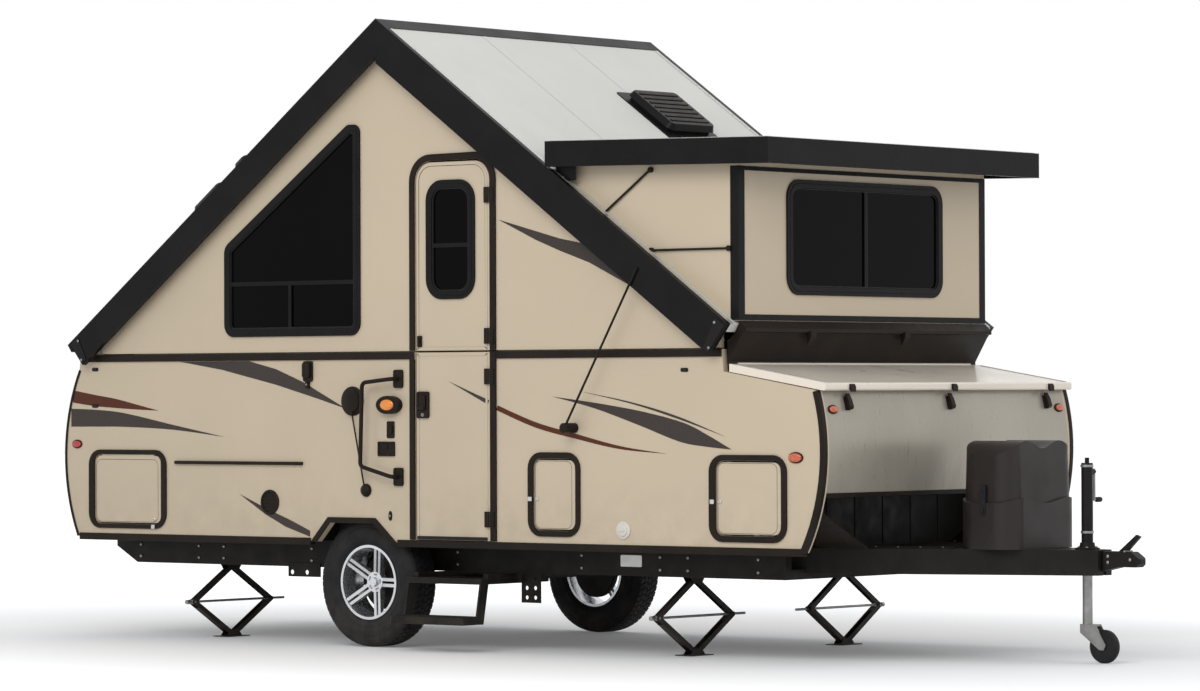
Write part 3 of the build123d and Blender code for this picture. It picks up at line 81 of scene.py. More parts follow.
def add_object(name, data):
    made = bpy.data.objects.new(name, data)
    bpy.context.scene.collection.objects.link(made)
    return made


def add_camera():
    data = bpy.data.cameras.new("camera")
    data.sensor_width = SENSOR_WIDTH
    data.lens = LENS
    data.clip_end = SIGHT
    camera = add_object("camera", data)
    level = cos(ELEVATION)
    forward = Vector((-sin(AZIMUTH) * level, cos(AZIMUTH) * level, -sin(ELEVATION)))
    right = forward.cross(Z).normalized()
    up = right.cross(forward)
    tilted_right = cos(ROLL) * right + sin(ROLL) * up
    tilted_up = -sin(ROLL) * right + cos(ROLL) * up
    turn = Matrix((tilted_right, tilted_up, -forward)).transposed()
    camera.matrix_world = Matrix.Translation(CAMERA_PLACE) @ turn.to_4x4()
    bpy.context.scene.camera = camera


add_camera()

# Light: a bright surround, a large lamp from the door side and weaker ones from the front and above
LAMPS = (
    ("key", (3.5, -11.0, 8.0), (0.0, 0.0, 1.4), (9.0, 6.0), 620),
    ("front_fill", (12.0, 1.0, 6.0), (1.5, 0.0, 1.4), (6.0, 6.0), 170),
    ("top", (-1.0, 1.5, 11.0), (-0.6, 0.0, 1.0), (9.0, 6.0), 200),
)
WHITE = (1, 1, 1, 1)
SKY = (0.95, 0.97, 1.0, 1)
FLOOR_COLOUR = (0.82, 0.82, 0.82, 1)
FLOOR_SIZE = 120
# The floor's own light, dimmed near the trailer as a painted shade round it: its scale along the trailer,
# then the distances and strengths it rises between
PAINTED_SHADE_STRETCH = (0.62, 1, 1)
PAINTED_SHADE_REACH = {"From Min": 1.2, "From Max": 6.5, "To Min": 0.1, "To Max": 0.56}


def add_area(name, place, target, size, power):
    data = bpy.data.lights.new(name, "AREA")
    data.shape = "RECTANGLE"
    data.size, data.size_y = size
    data.energy = power
    lamp = add_object(name, data)
    lamp.location = place
    aim = Vector(target) - Vector(place)
    lamp.rotation_mode = "QUATERNION"
    lamp.rotation_quaternion = aim.to_track_quat("-Z", "Y")


def feed(tree, node, inputs):
    """Gives a node's inputs their values, or links them where a value is another node's output."""
    for name, value in inputs.items():
        if isinstance(value, bpy.types.NodeSocket):
            tree.links.new(value, node.inputs[name])
        else:
            node.inputs[name].default_value = value


def add_node(tree, kind, inputs=None, **settings):
    node = tree.nodes.new(kind)
    for name, value in settings.items():
        setattr(node, name, value)
    feed(tree, node, inputs or {})
    return node


def seen_ray(tree):
    """1 on the rays that show the background: the camera's, mirrored ones and ones through glass."""
    path = add_node(tree, "ShaderNodeLightPath").outputs
    total = path["Is Camera Ray"]
    for name in ("Is Glossy Ray", "Is Transmission Ray"):
        both = add_node(tree, "ShaderNodeMath", {0: total, 1: path[name]}, operation="MAXIMUM")
        total = both.outputs[0]
    return total


def add_world():
    world = bpy.data.worlds.new("surround")
    world.use_nodes = True
    tree = world.node_tree
    tree.nodes.clear()
    light = add_node(tree, "ShaderNodeBackground", {"Color": SKY, "Strength": 0.6})
    shown = add_node(tree, "ShaderNodeBackground", {"Color": WHITE, "Strength": 1.0})
    either = {"Fac": seen_ray(tree), 1: light.outputs[0], 2: shown.outputs[0]}
    mix = add_node(tree, "ShaderNodeMixShader", either)
    add_node(tree, "ShaderNodeOutputWorld", {"Surface": mix.outputs[0]})
    bpy.context.scene.world = world


# The studio floor: white to the camera where nothing stands, its own light dimmed near the trailer as a
# painted shade, and it keeps the soft shadow
def add_floor():
    bpy.ops.mesh.primitive_plane_add(size=FLOOR_SIZE, location=(0, 0, 0))
    floor = bpy.context.object
    floor.name = "studio_floor"
    material = bpy.data.materials.new("studio_floor")
    material.use_nodes = True
    tree = material.node_tree
    coords = add_node(tree, "ShaderNodeTexCoord").outputs["Object"]
    place = add_node(tree, "ShaderNodeMapping", {"Vector": coords, "Scale": PAINTED_SHADE_STRETCH})
    reach = add_node(tree, "ShaderNodeVectorMath", {0: place.outputs[0]}, operation="LENGTH")
    # Painted shade: the floor's own light is weakest near the trailer and rises towards white further out
    glow_inputs = {"Value": reach.outputs["Value"], **PAINTED_SHADE_REACH}
    glow = add_node(tree, "ShaderNodeMapRange", glow_inputs, interpolation_type="SMOOTHERSTEP")
    shown_inputs = {0: seen_ray(tree), 1: glow.outputs["Result"]}
    shown = add_node(tree, "ShaderNodeMath", shown_inputs, operation="MULTIPLY")
    surface = {"Base Color": FLOOR_COLOUR, "Roughness": 0.9, "Emission Color": WHITE}
    surface["Emission Strength"] = shown.outputs[0]
    feed(tree, tree.nodes["Principled BSDF"], surface)
    floor.data.materials.append(material)


add_world()
add_floor()
for lamp in LAMPS:
    add_area(*lamp)
bpy.context.scene.view_settings.view_transform = "Standard"


# Materials
def srgb(red, green, blue):
    """A colour written as 0 to 255 screen values, in the linear form that a shader takes."""
    shares = (red / 255, green / 255, blue / 255)
    return tuple(c / 12.92 if c <= 0.04045 else ((c + 0.055) / 1.055) ** 2.4 for c in shares) + (1.0,)


class Shader:
    """A principled material and a few ways to vary it over the surface."""

    def __init__(self, name, colour, roughness, metallic=0.0, coat=0.0, specular=0.5):
        self.material = bpy.data.materials.new(name)
        self.material.use_nodes = True
        self.tree = self.material.node_tree
        self.coords = self.add("ShaderNodeTexCoord").outputs["Object"]
        self.colour = srgb(*colour)
        self.slot = None
        values = {"Base Color": self.colour, "Roughness": roughness, "Metallic": metallic}
        self.put({**values, "Coat Weight": coat, "Coat Roughness": 0.08, "Specular IOR Level": specular})

    def add(self, kind, inputs=None, **settings):
        return add_node(self.tree, kind, inputs, **settings)

    def put(self, inputs):
        feed(self.tree, self.tree.nodes["Principled BSDF"], inputs)
        return self

    def noise(self, scale, detail, stretch=(1, 1, 1)):
        place = self.add("ShaderNodeMapping", {"Scale": stretch, "Vector": self.coords})
        inputs = {"Scale": scale, "Detail": detail, "Roughness": 0.55, "Vector": place.outputs[0]}
        return self.add("ShaderNodeTexNoise", inputs).outputs["Fac"]

    def ramp(self, value, low, high, to_low=0.0, to_high=1.0):
        inputs = {"Value": value, "From Min": low, "From Max": high, "To Min": to_low, "To Max": to_high}
        return self.add("ShaderNodeMapRange", inputs).outputs["Result"]

    def recolour(self, share, first, second):
        """Mixes two colours into the base colour."""
        inputs = {"Factor": share, 6: first, 7: second}
        self.base = self.add("ShaderNodeMix", inputs, data_type="RGBA").outputs[2]
        return self.put({"Base Color": self.base})

    def tone(self, scale, amount, stretch=(1, 1, 1)):
        """Varies the base colour between a darker and a lighter shade of itself."""
        dark = tuple(c * (1 - amount) for c in self.colour[:3]) + (1.0,)
        light = tuple(min(1.0, c * (1 + amount)) for c in self.colour[:3]) + (1.0,)
        return self.recolour(self.ramp(self.noise(scale, 5.0, stretch), 0.3, 0.7), dark, light)

    def grime(self, low_z, high_z, colour, amount, scale=9.0):
        """Road dust that is thickest low down and fades with height."""
        place = self.add("ShaderNodeSeparateXYZ", {0: self.coords})
        height = self.ramp(place.outputs["Z"], low_z, high_z, amount, 0.0)
        patchy = self.ramp(self.noise(scale, 6.0), 0.35, 0.7)
        both = self.add("ShaderNodeMath", {0: height, 1: patchy}, operation="MULTIPLY")
        return self.recolour(both.outputs[0], self.base, srgb(*colour))

    def painted_edge_highlight(self, colour, amount):
        """A painted highlight: a lighter colour along the sharp edges."""
        shape = self.add("ShaderNodeNewGeometry")
        rounding = self.add("ShaderNodeBevel", {"Radius": 0.003}, samples=4)
        normals = {0: rounding.outputs[0], 1: shape.outputs["Normal"]}
        match = self.add("ShaderNodeVectorMath", normals, operation="DOT_PRODUCT")
        share = self.ramp(match.outputs["Value"], 0.97, 0.75, 0.0, amount)
        return self.recolour(share, self.base, srgb(*colour))

    def sheen(self, scale, low, high, stretch=(1, 1, 1)):
        """Varies the roughness."""
        return self.put({"Roughness": self.ramp(self.noise(scale, 5.0, stretch), 0.3, 0.7, low, high)})

    def bump(self, scale, depth, strength, detail=3.0):
        """A fine relief, its depth in metres."""
        inputs = {"Strength": strength, "Distance": depth, "Height": self.noise(scale, detail)}
        return self.put({"Normal": self.add("ShaderNodeBump", inputs).outputs[0]})


def film(name, colour, specular, vary):
    shader = Shader(name, colour, 0.3, specular=specular).tone(2.0, vary, (1, 1, 3))
    return shader.sheen(30.0, 0.24, 0.34).bump(40.0, 0.0001, 0.2)


def lens(name, colour, roughness, vary):
    shader = Shader(name, colour, roughness, coat=0.5).tone(90.0, vary)
    return shader.sheen(20.0, 0.12, 0.22).bump(240.0, 0.0012, 0.6, 0.0)


DUST = (120, 108, 92)
wall_paint = Shader("wall_laminate", (201, 185, 160), 0.36, coat=0.15, specular=0.35)
wall_paint.tone(0.9, 0.035).grime(0.5, 0.95, (140, 126, 104), 0.25)
wall_paint.sheen(2.0, 0.3, 0.42).bump(3.2, 0.0008, 0.35)
lid_paint = Shader("lid_laminate", (236, 225, 209), 0.3, coat=0.35, specular=0.5)
lid_paint.tone(1.4, 0.04).sheen(3.0, 0.24, 0.4).bump(4.0, 0.0006, 0.3)
front_skin = Shader("front_metal", (166, 160, 147), 0.34, metallic=0.4, specular=0.4)
front_skin.tone(1.6, 0.1, (1, 1, 0.6)).sheen(9.0, 0.26, 0.42, (1, 10, 1)).bump(2.4, 0.0012, 0.4)
roof_skin = Shader("roof_membrane", (206, 205, 199), 0.55, specular=0.3)
roof_skin.tone(1.1, 0.04).grime(1.6, 3.0, (170, 166, 156), 0.3, 2.0)
roof_skin.sheen(4.0, 0.48, 0.66).bump(160.0, 0.0004, 0.35)
# The lighter colour along the sharp edges of black_trim, gloss_black and chassis_paint is a painted
# highlight
black_trim = Shader("black_trim", (34, 28, 23), 0.42, specular=0.1)
black_trim.tone(7.0, 0.25).painted_edge_highlight((70, 62, 54), 0.5).sheen(14.0, 0.34, 0.52).bump(420.0, 0.0002, 0.3)
gloss_black = Shader("gloss_black", (24, 23, 24), 0.3, specular=0.09)
gloss_black.tone(4.0, 0.2).painted_edge_highlight((60, 60, 64), 0.5).sheen(5.0, 0.22, 0.38).bump(6.0, 0.0006, 0.3)
chassis_paint = Shader("chassis_paint", (24, 22, 21), 0.45, specular=0.14)
chassis_paint.tone(5.0, 0.3).grime(0.0, 0.6, DUST, 0.22).painted_edge_highlight((80, 72, 64), 0.5)
chassis_paint.sheen(10.0, 0.36, 0.6).bump(90.0, 0.0004, 0.3)
glass = Shader("tinted_glass", (4, 4, 5), 0.05, specular=0.05)
glass.tone(0.8, 0.3).sheen(1.6, 0.03, 0.08).bump(1.1, 0.0012, 0.12)
tyre_rubber = Shader("tyre_rubber", (32, 31, 32), 0.72, specular=0.25)
tyre_rubber.tone(12.0, 0.2).grime(0.0, 0.4, DUST, 0.16, 16.0)
tyre_rubber.sheen(18.0, 0.62, 0.84).bump(260.0, 0.0004, 0.4)
alloy = Shader("machined_alloy", (205, 207, 210), 0.24, metallic=0.9)
alloy.tone(9.0, 0.06).sheen(60.0, 0.17, 0.32).bump(300.0, 0.0001, 0.2)
zinc = Shader("zinc_steel", (140, 139, 138), 0.38, metallic=0.85)
zinc.tone(20.0, 0.2).sheen(30.0, 0.28, 0.5).bump(160.0, 0.0002, 0.3)
# The lighter colour along the cover's sharp edges is a painted highlight
moulded = Shader("moulded_cover", (36, 30, 28), 0.4, coat=0.08, specular=0.25)
moulded.tone(3.0, 0.15).painted_edge_highlight((70, 62, 58), 0.4).sheen(6.0, 0.4, 0.56).bump(360.0, 0.0004, 0.5)
floor_board = Shader("floor_board", (52, 47, 43), 0.7, specular=0.3)
floor_board.tone(6.0, 0.25).sheen(8.0, 0.6, 0.8).bump(60.0, 0.0005, 0.4)
hard_rubber = Shader("hard_rubber", (24, 24, 25), 0.6, specular=0.25)
hard_rubber.tone(16.0, 0.25).sheen(24.0, 0.5, 0.7).bump(200.0, 0.0003, 0.4)
charcoal = film("charcoal_film", (58, 50, 46), 0.25, 0.06)
rust = film("rust_film", (82, 38, 18), 0.2, 0.08)
amber = lens("amber_lens", (238, 138, 42), 0.16, 0.22)
orange = lens("orange_lens", (200, 92, 52), 0.18, 0.25)
red = lens("red_lens", (178, 36, 32), 0.18, 0.25)
silver = Shader("silver_trim", (196, 196, 192), 0.34, metallic=0.55)
silver.tone(8.0, 0.06).sheen(30.0, 0.26, 0.42).bump(200.0, 0.0001, 0.2)
pale_plastic = Shader("pale_plastic", (216, 212, 202), 0.4, specular=0.4)
pale_plastic.tone(12.0, 0.05).sheen(20.0, 0.34, 0.48).bump(300.0, 0.0002, 0.3)

BY_SLOT = {
    "chassis_paint": chassis_paint,
    "moulded_cover": moulded,
    "floor_board": floor_board,
    "wall_panel": wall_paint,
    "lid_panel": lid_paint,
    "roof_skin": roof_skin,
    "black_trim": black_trim,
    "tinted_glass": glass,
    "tyre": tyre_rubber,
    "alloy": alloy,
    "zinc_steel": zinc,
    "hard_rubber": hard_rubber,
}
BY_NODE = {"front_wall": front_skin, "dormer_roof": gloss_black, "roof_trim_and_vents": gloss_black}


def dress_nodes():
    gloss_black.slot = "black_trim"
    for slot, finish in BY_SLOT.items():
        finish.slot = slot
    for part in frame["record"]["subparts"]:
        node = NODES[part["node"]]
        finish = BY_NODE.get(part["node"], BY_SLOT[part["material_slot"]])
        for place in node.material_slots:
            place.material = finish.material


dress_nodes()


# Outlines: lists of (across, up) points
def arc(across, up, radius, start, end, steps):
    turns = (radians(start + (end - start) * i / steps) for i in range(steps + 1))
    return [(across + radius * cos(a), up + radius * sin(a)) for a in turns]


def rounded(x0, x1, z0, z1, radius, steps=None):
    """A rectangle with rounded corners, cut straight where they are too small to see."""
    steps = steps or (1 if radius <= 0.002 else 5)
    left, right, low, high = x0 + radius, x1 - radius, z0 + radius, z1 - radius
    corners = ((right, low, -90), (right, high, 0), (left, high, 90), (left, low, 180))
    return [p for x, z, start in corners for p in arc(x, z, radius, start, start + 90, steps)]


def around(u, v, half_wide, half_high):
    """The two ends across and the two ends up of a rectangle about a middle point."""
    return u - half_wide, u + half_wide, v - half_high, v + half_high


def rectangle(x0, x1, z0, z1):
    return [(x0, z0), (x1, z0), (x1, z1), (x0, z1)]


def circle(steps, start=0.0):
    """The cosines and sines of evenly spaced turns."""
    turns = [start + 2 * pi * i / steps for i in range(steps)]
    return [(cos(a), sin(a)) for a in turns]


def ellipse(x, z, rx, rz, steps=28, start=0.0):
    return [(x + rx * c, z + rz * s) for c, s in circle(steps, start)]


def neighbours(points, i):
    """A point of a closed outline between the one before and the one after it."""
    return (Vector(points[(i + k) % len(points)][:2]) for k in (-1, 0, 1))


def moved(outline, amount):
    """An outline that runs anticlockwise, moved outward by an amount, with mitred corners."""
    result = []
    for i in range(len(outline)):
        before, here, after = neighbours(outline, i)
        first = (here - before).normalized()
        second = (after - here).normalized()
        across = Vector((first.y + second.y, -first.x - second.x)).normalized()
        lean = max(0.4, across.dot(Vector((first.y, -first.x))))
        result.append(tuple(here + across * amount / lean))
    return result


def filleted(corners, steps=6):
    """A polygon of (across, up, radius) corners with those corners rounded."""
    result = []
    for i, corner in enumerate(corners):
        radius = corner[2]
        before, here, after = neighbours(corners, i)
        back, on = (before - here).normalized(), (after - here).normalized()
        half = back.angle(on) / 2
        centre = here + (back + on).normalized() * radius / sin(half)
        start = here + back * radius / tan(half) - centre
        end = here + on * radius / tan(half) - centre
        sweep = start.angle_signed(end)
        for k in range(steps + 1):
            c, s = cos(-sweep * k / steps), sin(-sweep * k / steps)
            result.append((centre.x + start.x * c - start.y * s, centre.y + start.x * s + start.y * c))
    return result


def three_point(first, through, last, steps=18):
    """Points along the circle that passes through three points, from the first to the last."""
    start, middle, end = complex(*first), complex(*through), complex(*last)
    ratio = (end - start) / (middle - start)
    centre = start + (middle - start) * (ratio - abs(ratio) ** 2) / (ratio - ratio.conjugate())
    sweep = phase((end - centre) / (start - centre))
    points = [centre + (start - centre) * rect(1, sweep * i / steps) for i in range(steps + 1)]
    return [(p.real, p.imag) for p in points]


def blend(a, b, c, d, t):
    """The smooth curve's value between b and c, which a and d lie before and after."""
    bend = 2 * a - 5 * b + 4 * c - d
    twist = 3 * b - a - 3 * c + d
    return 0.5 * (2 * b + (c - a) * t + bend * t * t + twist * t**3)


def smooth(points, steps=8):
    """A smooth line through points of any number of values."""
    result = []
    last = len(points) - 1
    for i in range(last):
        four = [points[max(0, min(last, i + k))] for k in (-1, 0, 1, 2)]
        for s in range(steps):
            result.append(tuple(blend(*values, s / steps) for values in zip(*four)))
    result.append(tuple(points[-1]))
    return result


def heading(line, i):
    """The direction of a line of points at one of them."""
    x0, z0 = line[max(0, i - 1)][:2]
    x1, z1 = line[min(len(line) - 1, i + 1)][:2]
    run = hypot(x1 - x0, z1 - z0)
    return (x1 - x0) / run, (z1 - z0) / run


def swoosh(points):
    """A tapering band from (across, up, half width) points along its middle."""
    line = smooth(points)
    upper, lower = [], []
    for i, (x, z, half) in enumerate(line):
        if half < 0.0004:
            lower.append((x, z))
            continue
        dx, dz = heading(line, i)
        upper.append((x - dz * half, z + dx * half))
        lower.append((x + dz * half, z - dx * half))
    return lower + upper[::-1]


def band_along(line, width):
    """A band of a width on the trailer's side of a line of points."""
    inner = []
    for i, (x, z) in enumerate(line):
        dx, dz = heading(line, i)
        inner.append((x - dz * width, z + dx * width))
    return list(line) + inner[::-1]


# Places to build on
class Surface:
    """A flat place: at(u, v, n) is u along it, v up it and n out from it."""

    def __init__(self, origin, along, up, out):
        self.origin, self.along, self.up, self.out = Vector(origin), along, up, out

    def at(self, u, v, n=0.0):
        return self.origin + self.along * u + self.up * v + self.out * n


def side_place(side, y=WALL_Y):
    """A side wall's outer face: across is the trailer's X, up is its Z."""
    return Surface((0, side * y, 0), X, Z, side * Y)


CURB, OFF = side_place(-1), side_place(1)
FACE = Surface((FACE_X, 0, 0), Y, Z, X)
SECTION = Surface((0, 0, 0), X, Z, Y)
ACROSS = Surface((0, 0, 0), Y, Z, X)
PLAN = Surface((0, 0, 0), X, Y, Z)


def bent(curve, z, way):
    """The place on a curved end wall at a height, its origin in the middle plane."""
    line = three_point(*curve, steps=60)
    i = min(range(1, len(line) - 1), key=lambda k: abs(line[k][1] - z))
    dx, dz = heading(line, i)
    return Surface((line[i][0], 0, line[i][1]), Y, Vector((dx, 0, dz)), Vector((dz, 0, -dx)) * way)


def slope_place(eave, way):
    """A roof slope's top surface: across is Y, up is the distance down from the ridge."""
    down = Vector((eave[0] - RIDGE[0], 0, eave[1] - RIDGE[1])).normalized()
    place = Surface((RIDGE[0], 0, RIDGE[1]), Y, down, Vector((-down.z, 0, down.x)) * way)
    place.length = hypot(eave[0] - RIDGE[0], RIDGE[1] - eave[1])
    return place


FRONT_SLOPE, REAR_SLOPE = slope_place(FRONT_EAVE, 1), slope_place(REAR_EAVE, -1)


class Piece:
    """One named piece: shapes are added to its mesh, then it is finished and rides on a body."""

    def __init__(self, name, finish, body="trailer", slotted=True):
        self.name, self.body = name, body
        self.slot = finish.slot if slotted else None
        self.mesh = bmesh.new()
        self.finishes = [finish]

    def loft(self, rings, close=False, finish=None):
        """Joins rings of equal count into a closed solid, its ends capped or joined to each other."""
        if finish and finish not in self.finishes:
            self.finishes.append(finish)
        index = self.finishes.index(finish) if finish else 0
        rows = [[self.mesh.verts.new(p) for p in ring] for ring in rings]
        pairs = list(zip(rows, rows[1:]))
        if close:
            pairs.append((rows[-1], rows[0]))
        faces = []
        for low, high in pairs:
            for i in range(len(low)):
                j = (i + 1) % len(low)
                faces.append(self.mesh.faces.new((low[i], low[j], high[j], high[i])))
        if not close:
            faces.append(self.mesh.faces.new(rows[0][::-1]))
            faces.append(self.mesh.faces.new(rows[-1]))
        for face in faces:
            face.material_index = index

    def stack(self, place, layers, close=False, finish=None):
        """A solid through (outline, height) layers over a place."""
        self.loft([[place.at(u, v, n) for u, v in line] for line, n in layers], close, finish)

    def prism(self, place, outline, low, high, finish=None):
        self.stack(place, ((outline, low), (outline, high)), finish=finish)

    def frame(self, place, outer, inner, low, high, finish=None):
        self.stack(place, ((outer, low), (outer, high), (inner, high), (inner, low)), True, finish)

    def plates(self, place, *rows):
        """Round-cornered plates of (ends across, ends up, corner radius, low, high, other finish)."""
        for x0, x1, z0, z1, radius, low, high, *finish in rows:
            self.prism(place, rounded(x0, x1, z0, z1, radius), low, high, *finish)

    def dome(self, place, u, v, ru, rv, low, high, square, finish=None, steps=6):
        """A rounded cap on an ellipse, its sides upright below and rolled over above."""
        layers = [(ellipse(u, v, ru, rv), low)]
        side = low + (high - low) * square
        for k in range(steps + 1):
            turn = radians(84 * k / steps)
            share = cos(turn)
            layers.append((ellipse(u, v, ru * share, rv * share), side + (high - side) * sin(turn)))
        self.stack(place, layers, finish=finish)

    def lathe(self, centre, axis, profile, steps, close=False, finish=None):
        """Turns a profile of (radius, height) points about an axis."""
        first = axis.orthogonal().normalized()
        second = axis.cross(first)
        spokes = [first * c + second * s for c, s in circle(steps)]
        rings = [[Vector(centre) + axis * h + s * r for s in spokes] for r, h in profile]
        self.loft(rings, close, finish)

    def turned(self, place, u, v, low, profile, steps, finish=None):
        """A turned shape that stands on a place."""
        self.lathe(place.at(u, v, low), place.out, profile, steps, finish=finish)

    def tube(self, points, radius, steps=10, finish=None):
        """A round bar along points, its corners kept."""
        points = [Vector(p) for p in points]
        side = (points[1] - points[0]).orthogonal().normalized()
        rings = []
        for i, here in enumerate(points):
            way = (points[min(i + 1, len(points) - 1)] - points[max(i - 1, 0)]).normalized()
            side = (side - way * side.dot(way)).normalized()
            other = way.cross(side)
            rings.append([here + (side * c + other * s) * radius for c, s in circle(steps)])
        self.loft(rings, finish=finish)

    def bolt(self, place, u, v, low, radius, height, finish=None):
        """A six-sided head with a rounded top."""
        head, crown = (ellipse(u, v, radius * share, radius * share, 6) for share in (1, 0.7))
        layers = ((head, low), (head, low + height * 0.7), (crown, low + height))
        self.stack(place, layers, finish=finish)

    def done(self, bevel=0.0012):
        bmesh.ops.recalc_face_normals(self.mesh, faces=self.mesh.faces)
        data = bpy.data.meshes.new(self.name)
        self.mesh.to_mesh(data)
        self.mesh.free()
        for finish in self.finishes:
            data.materials.append(finish.material)
        data.shade_smooth()
        data.set_sharp_from_angle(angle=radians(38))
        piece = add_object(self.name, data)
        if bevel:
            rounding = piece.modifiers.new("edges", "BEVEL")
            rounding.width, rounding.segments = bevel, 2
            rounding.limit_method, rounding.angle_limit = "ANGLE", radians(40)
            rounding.harden_normals = True
        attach(piece, self.body)
        return piece


def trim(name, body="trailer"):
    return Piece(name, black_trim, body)


def add_plates(name, finish, body, bevel, place, *rows):
    """A whole piece of round-cornered plates."""
    piece = Piece(name, finish, body)
    piece.plates(place, *rows)
    piece.done(bevel)


# Windows: a rubber-edged black frame over each flange, and the bars
GABLE_BARS = ((-1.933, -1.025, 1.925, 1.947), (-1.503, -1.481, 1.693, 1.924))
DOOR_BARS = ((-0.474, -0.22, 2.104, 2.126),)
DORMER_BARS = ((-0.014, 0.014, 1.875, 2.373),)
# How far each ring of a frame lies outside the glass, its two edges first, then its two heights
WINDOW_RINGS = (
    (0.0235, 0.004, HAIR, 0.0105, None),
    (0.0035, -0.019, HAIR, 0.0125, None),
    (-0.0195, -0.026, -0.0028, 0.007, hard_rubber),
)


def gable_window_line():
    slope = (RIDGE[1] - REAR_EAVE[1]) / (RIDGE[0] - REAR_EAVE[0])
    left, middle, right, sill = -1.952, -1.062, -1.006, 1.674
    drops = ((middle, 0.379), (left, 0.346))
    top, shoulder = (RIDGE[1] - abs(x - RIDGE[0]) * slope - drop for x, drop in drops)
    corners = ((right, sill, 0.045), (right, top, 0.022), (middle, top, 0.022), (left, shoulder, 0.045))
    return filleted(corners + ((left, sill, 0.045),))


def add_window_frame(name, body, place, outline, bars):
    piece = Piece(name, gloss_black, body)
    for outer, inner, low, high, finish in WINDOW_RINGS:
        piece.frame(place, moved(outline, outer), moved(outline, inner), low, high, finish)
    for bar in bars:
        piece.prism(place, rounded(*bar, 0.002), -0.0028, 0.0062)
    piece.done()


for side, name in SIDES:
    place = side_place(side)
    add_window_frame(f"gable_window_frame_{name}", f"gable_{name}", place, gable_window_line(), GABLE_BARS)
door_glass = rounded(-0.492, -0.202, 1.857, 2.433, 0.085, 8)
dormer_glass = rounded(-0.648, 0.648, 1.856, 2.392, 0.07, 8)
add_window_frame("door_window_frame", "door_upper", CURB, door_glass, DOOR_BARS)
add_window_frame("dormer_window_frame", "trailer", FACE, dormer_glass, DORMER_BARS)

# Door surround: an extruded frame, split where the gable wall folds
OPENING = (-0.5975, -0.0745)
SURROUND = (-0.632, -0.036)
SURROUND_TOP, SURROUND_FOOT, SURROUND_OUT = 2.45, 1.5668, 0.0105
# The surround's upper corners: their middles across and their inner radius
LEFT_CORNER, RIGHT_CORNER, CORNER_RADIUS = -0.4895, -0.1825, 0.108


def surround_line(edges, left_radius, right_radius):
    left, right = edges
    line = [(right, SURROUND_FOOT), (right, SURROUND_TOP)]
    line += arc(RIGHT_CORNER, SURROUND_TOP, right_radius, 0, 90, 8)
    return line + arc(LEFT_CORNER, SURROUND_TOP, left_radius, 90, 180, 8) + [(left, SURROUND_FOOT)]


def add_door_surround():
    lower = trim("door_surround_lower")
    for x0, x1 in ((SURROUND[0], OPENING[0]), (OPENING[1], SURROUND[1])):
        lower.plates(
            CURB,
            (x0, x1, 0.5775, 1.5212, 0.001, HAIR, SURROUND_OUT),
            (x0, x1, 1.5213, 1.5612, 0.001, 0.0083, SURROUND_OUT),
        )
    lower.done(0.002)
    inner = surround_line(OPENING, CORNER_RADIUS, CORNER_RADIUS)
    outer = surround_line(SURROUND, 0.1425, 0.1465)
    upper = trim("door_surround_upper", "gable_curb")
    corners = ((outer, HAIR), (outer, SURROUND_OUT), (inner, SURROUND_OUT), (inner, HAIR))
    rings = [[CURB.at(u, v, n) for u, v in line] for line, n in corners]
    upper.loft(list(zip(*rings)))
    upper.done(0.002)


add_door_surround()

# Door leaves: a narrow pressed edge, the paddle handle with its lock, and a bottom sweep
LEAF = (-0.586, -0.097)
LEAVES = (("door_lower", 0.582, 1.553, 0.006), ("door_upper", 1.57, 2.546, 0.097))
HANDLE = (-0.582, -0.498, 1.213, 1.353)
HANDLE_BOWL = (-0.57, -0.51, 1.25, 1.341)
DOOR_SWEEP = (-0.584, -0.098, 0.5795, 0.5975, 0.002, HAIR + 0.002, 0.005)
DOOR_CATCH = (
    (-0.578, -0.548, 1.585, 1.645, 0.006, 0.0023, 0.01),
    (-0.57, -0.556, 1.597, 1.633, 0.005, 0.0101, 0.018),
)


def leaf_line(z0, z1, top_radius):
    low, high = (rounded(*LEAF, z0, z1, radius, 8) for radius in (0.006, top_radius))
    return [h if h[1] > (z0 + z1) / 2 else l for l, h in zip(low, high)]


def add_door_details():
    for body, z0, z1, top_radius in LEAVES:
        edge = Piece(f"{body}_edge", wall_paint, body)
        outer = leaf_line(z0, z1, top_radius)
        gap = moved(outer, -0.0148)
        edge.frame(CURB, outer, moved(outer, -0.014), HAIR, 0.0022)
        edge.frame(CURB, gap, moved(gap, -0.0022), HAIR, 0.0008, black_trim)
        edge.done(0.0006)
    handle = trim("door_handle", "door_lower")
    handle.frame(CURB, rounded(*HANDLE, 0.012), rounded(*HANDLE_BOWL, 0.008), 0.0071, 0.012)
    handle.plates(
        CURB,
        (*HANDLE, 0.012, HAIR, 0.007),
        (-0.562, -0.518, 1.258, 1.333, 0.006, 0.0071, 0.017),
        (-0.559, -0.521, 1.258, 1.275, 0.004, 0.0171, 0.024),
    )
    handle.turned(CURB, -0.54, 1.231, 0.0071, [(0.0105, 0), (0.0105, 0.004), (0.009, 0.0055)], 20, zinc)
    handle.plates(CURB, (-0.5415, -0.5385, 1.225, 1.237, 0.001, 0.0126, 0.0131, hard_rubber))
    handle.done(0.0015)
    add_plates("door_sweep", hard_rubber, "door_lower", 0.001, CURB, DOOR_SWEEP)
    add_plates("upper_door_catch", black_trim, "door_upper", 0.001, CURB, *DOOR_CATCH)


add_door_details()

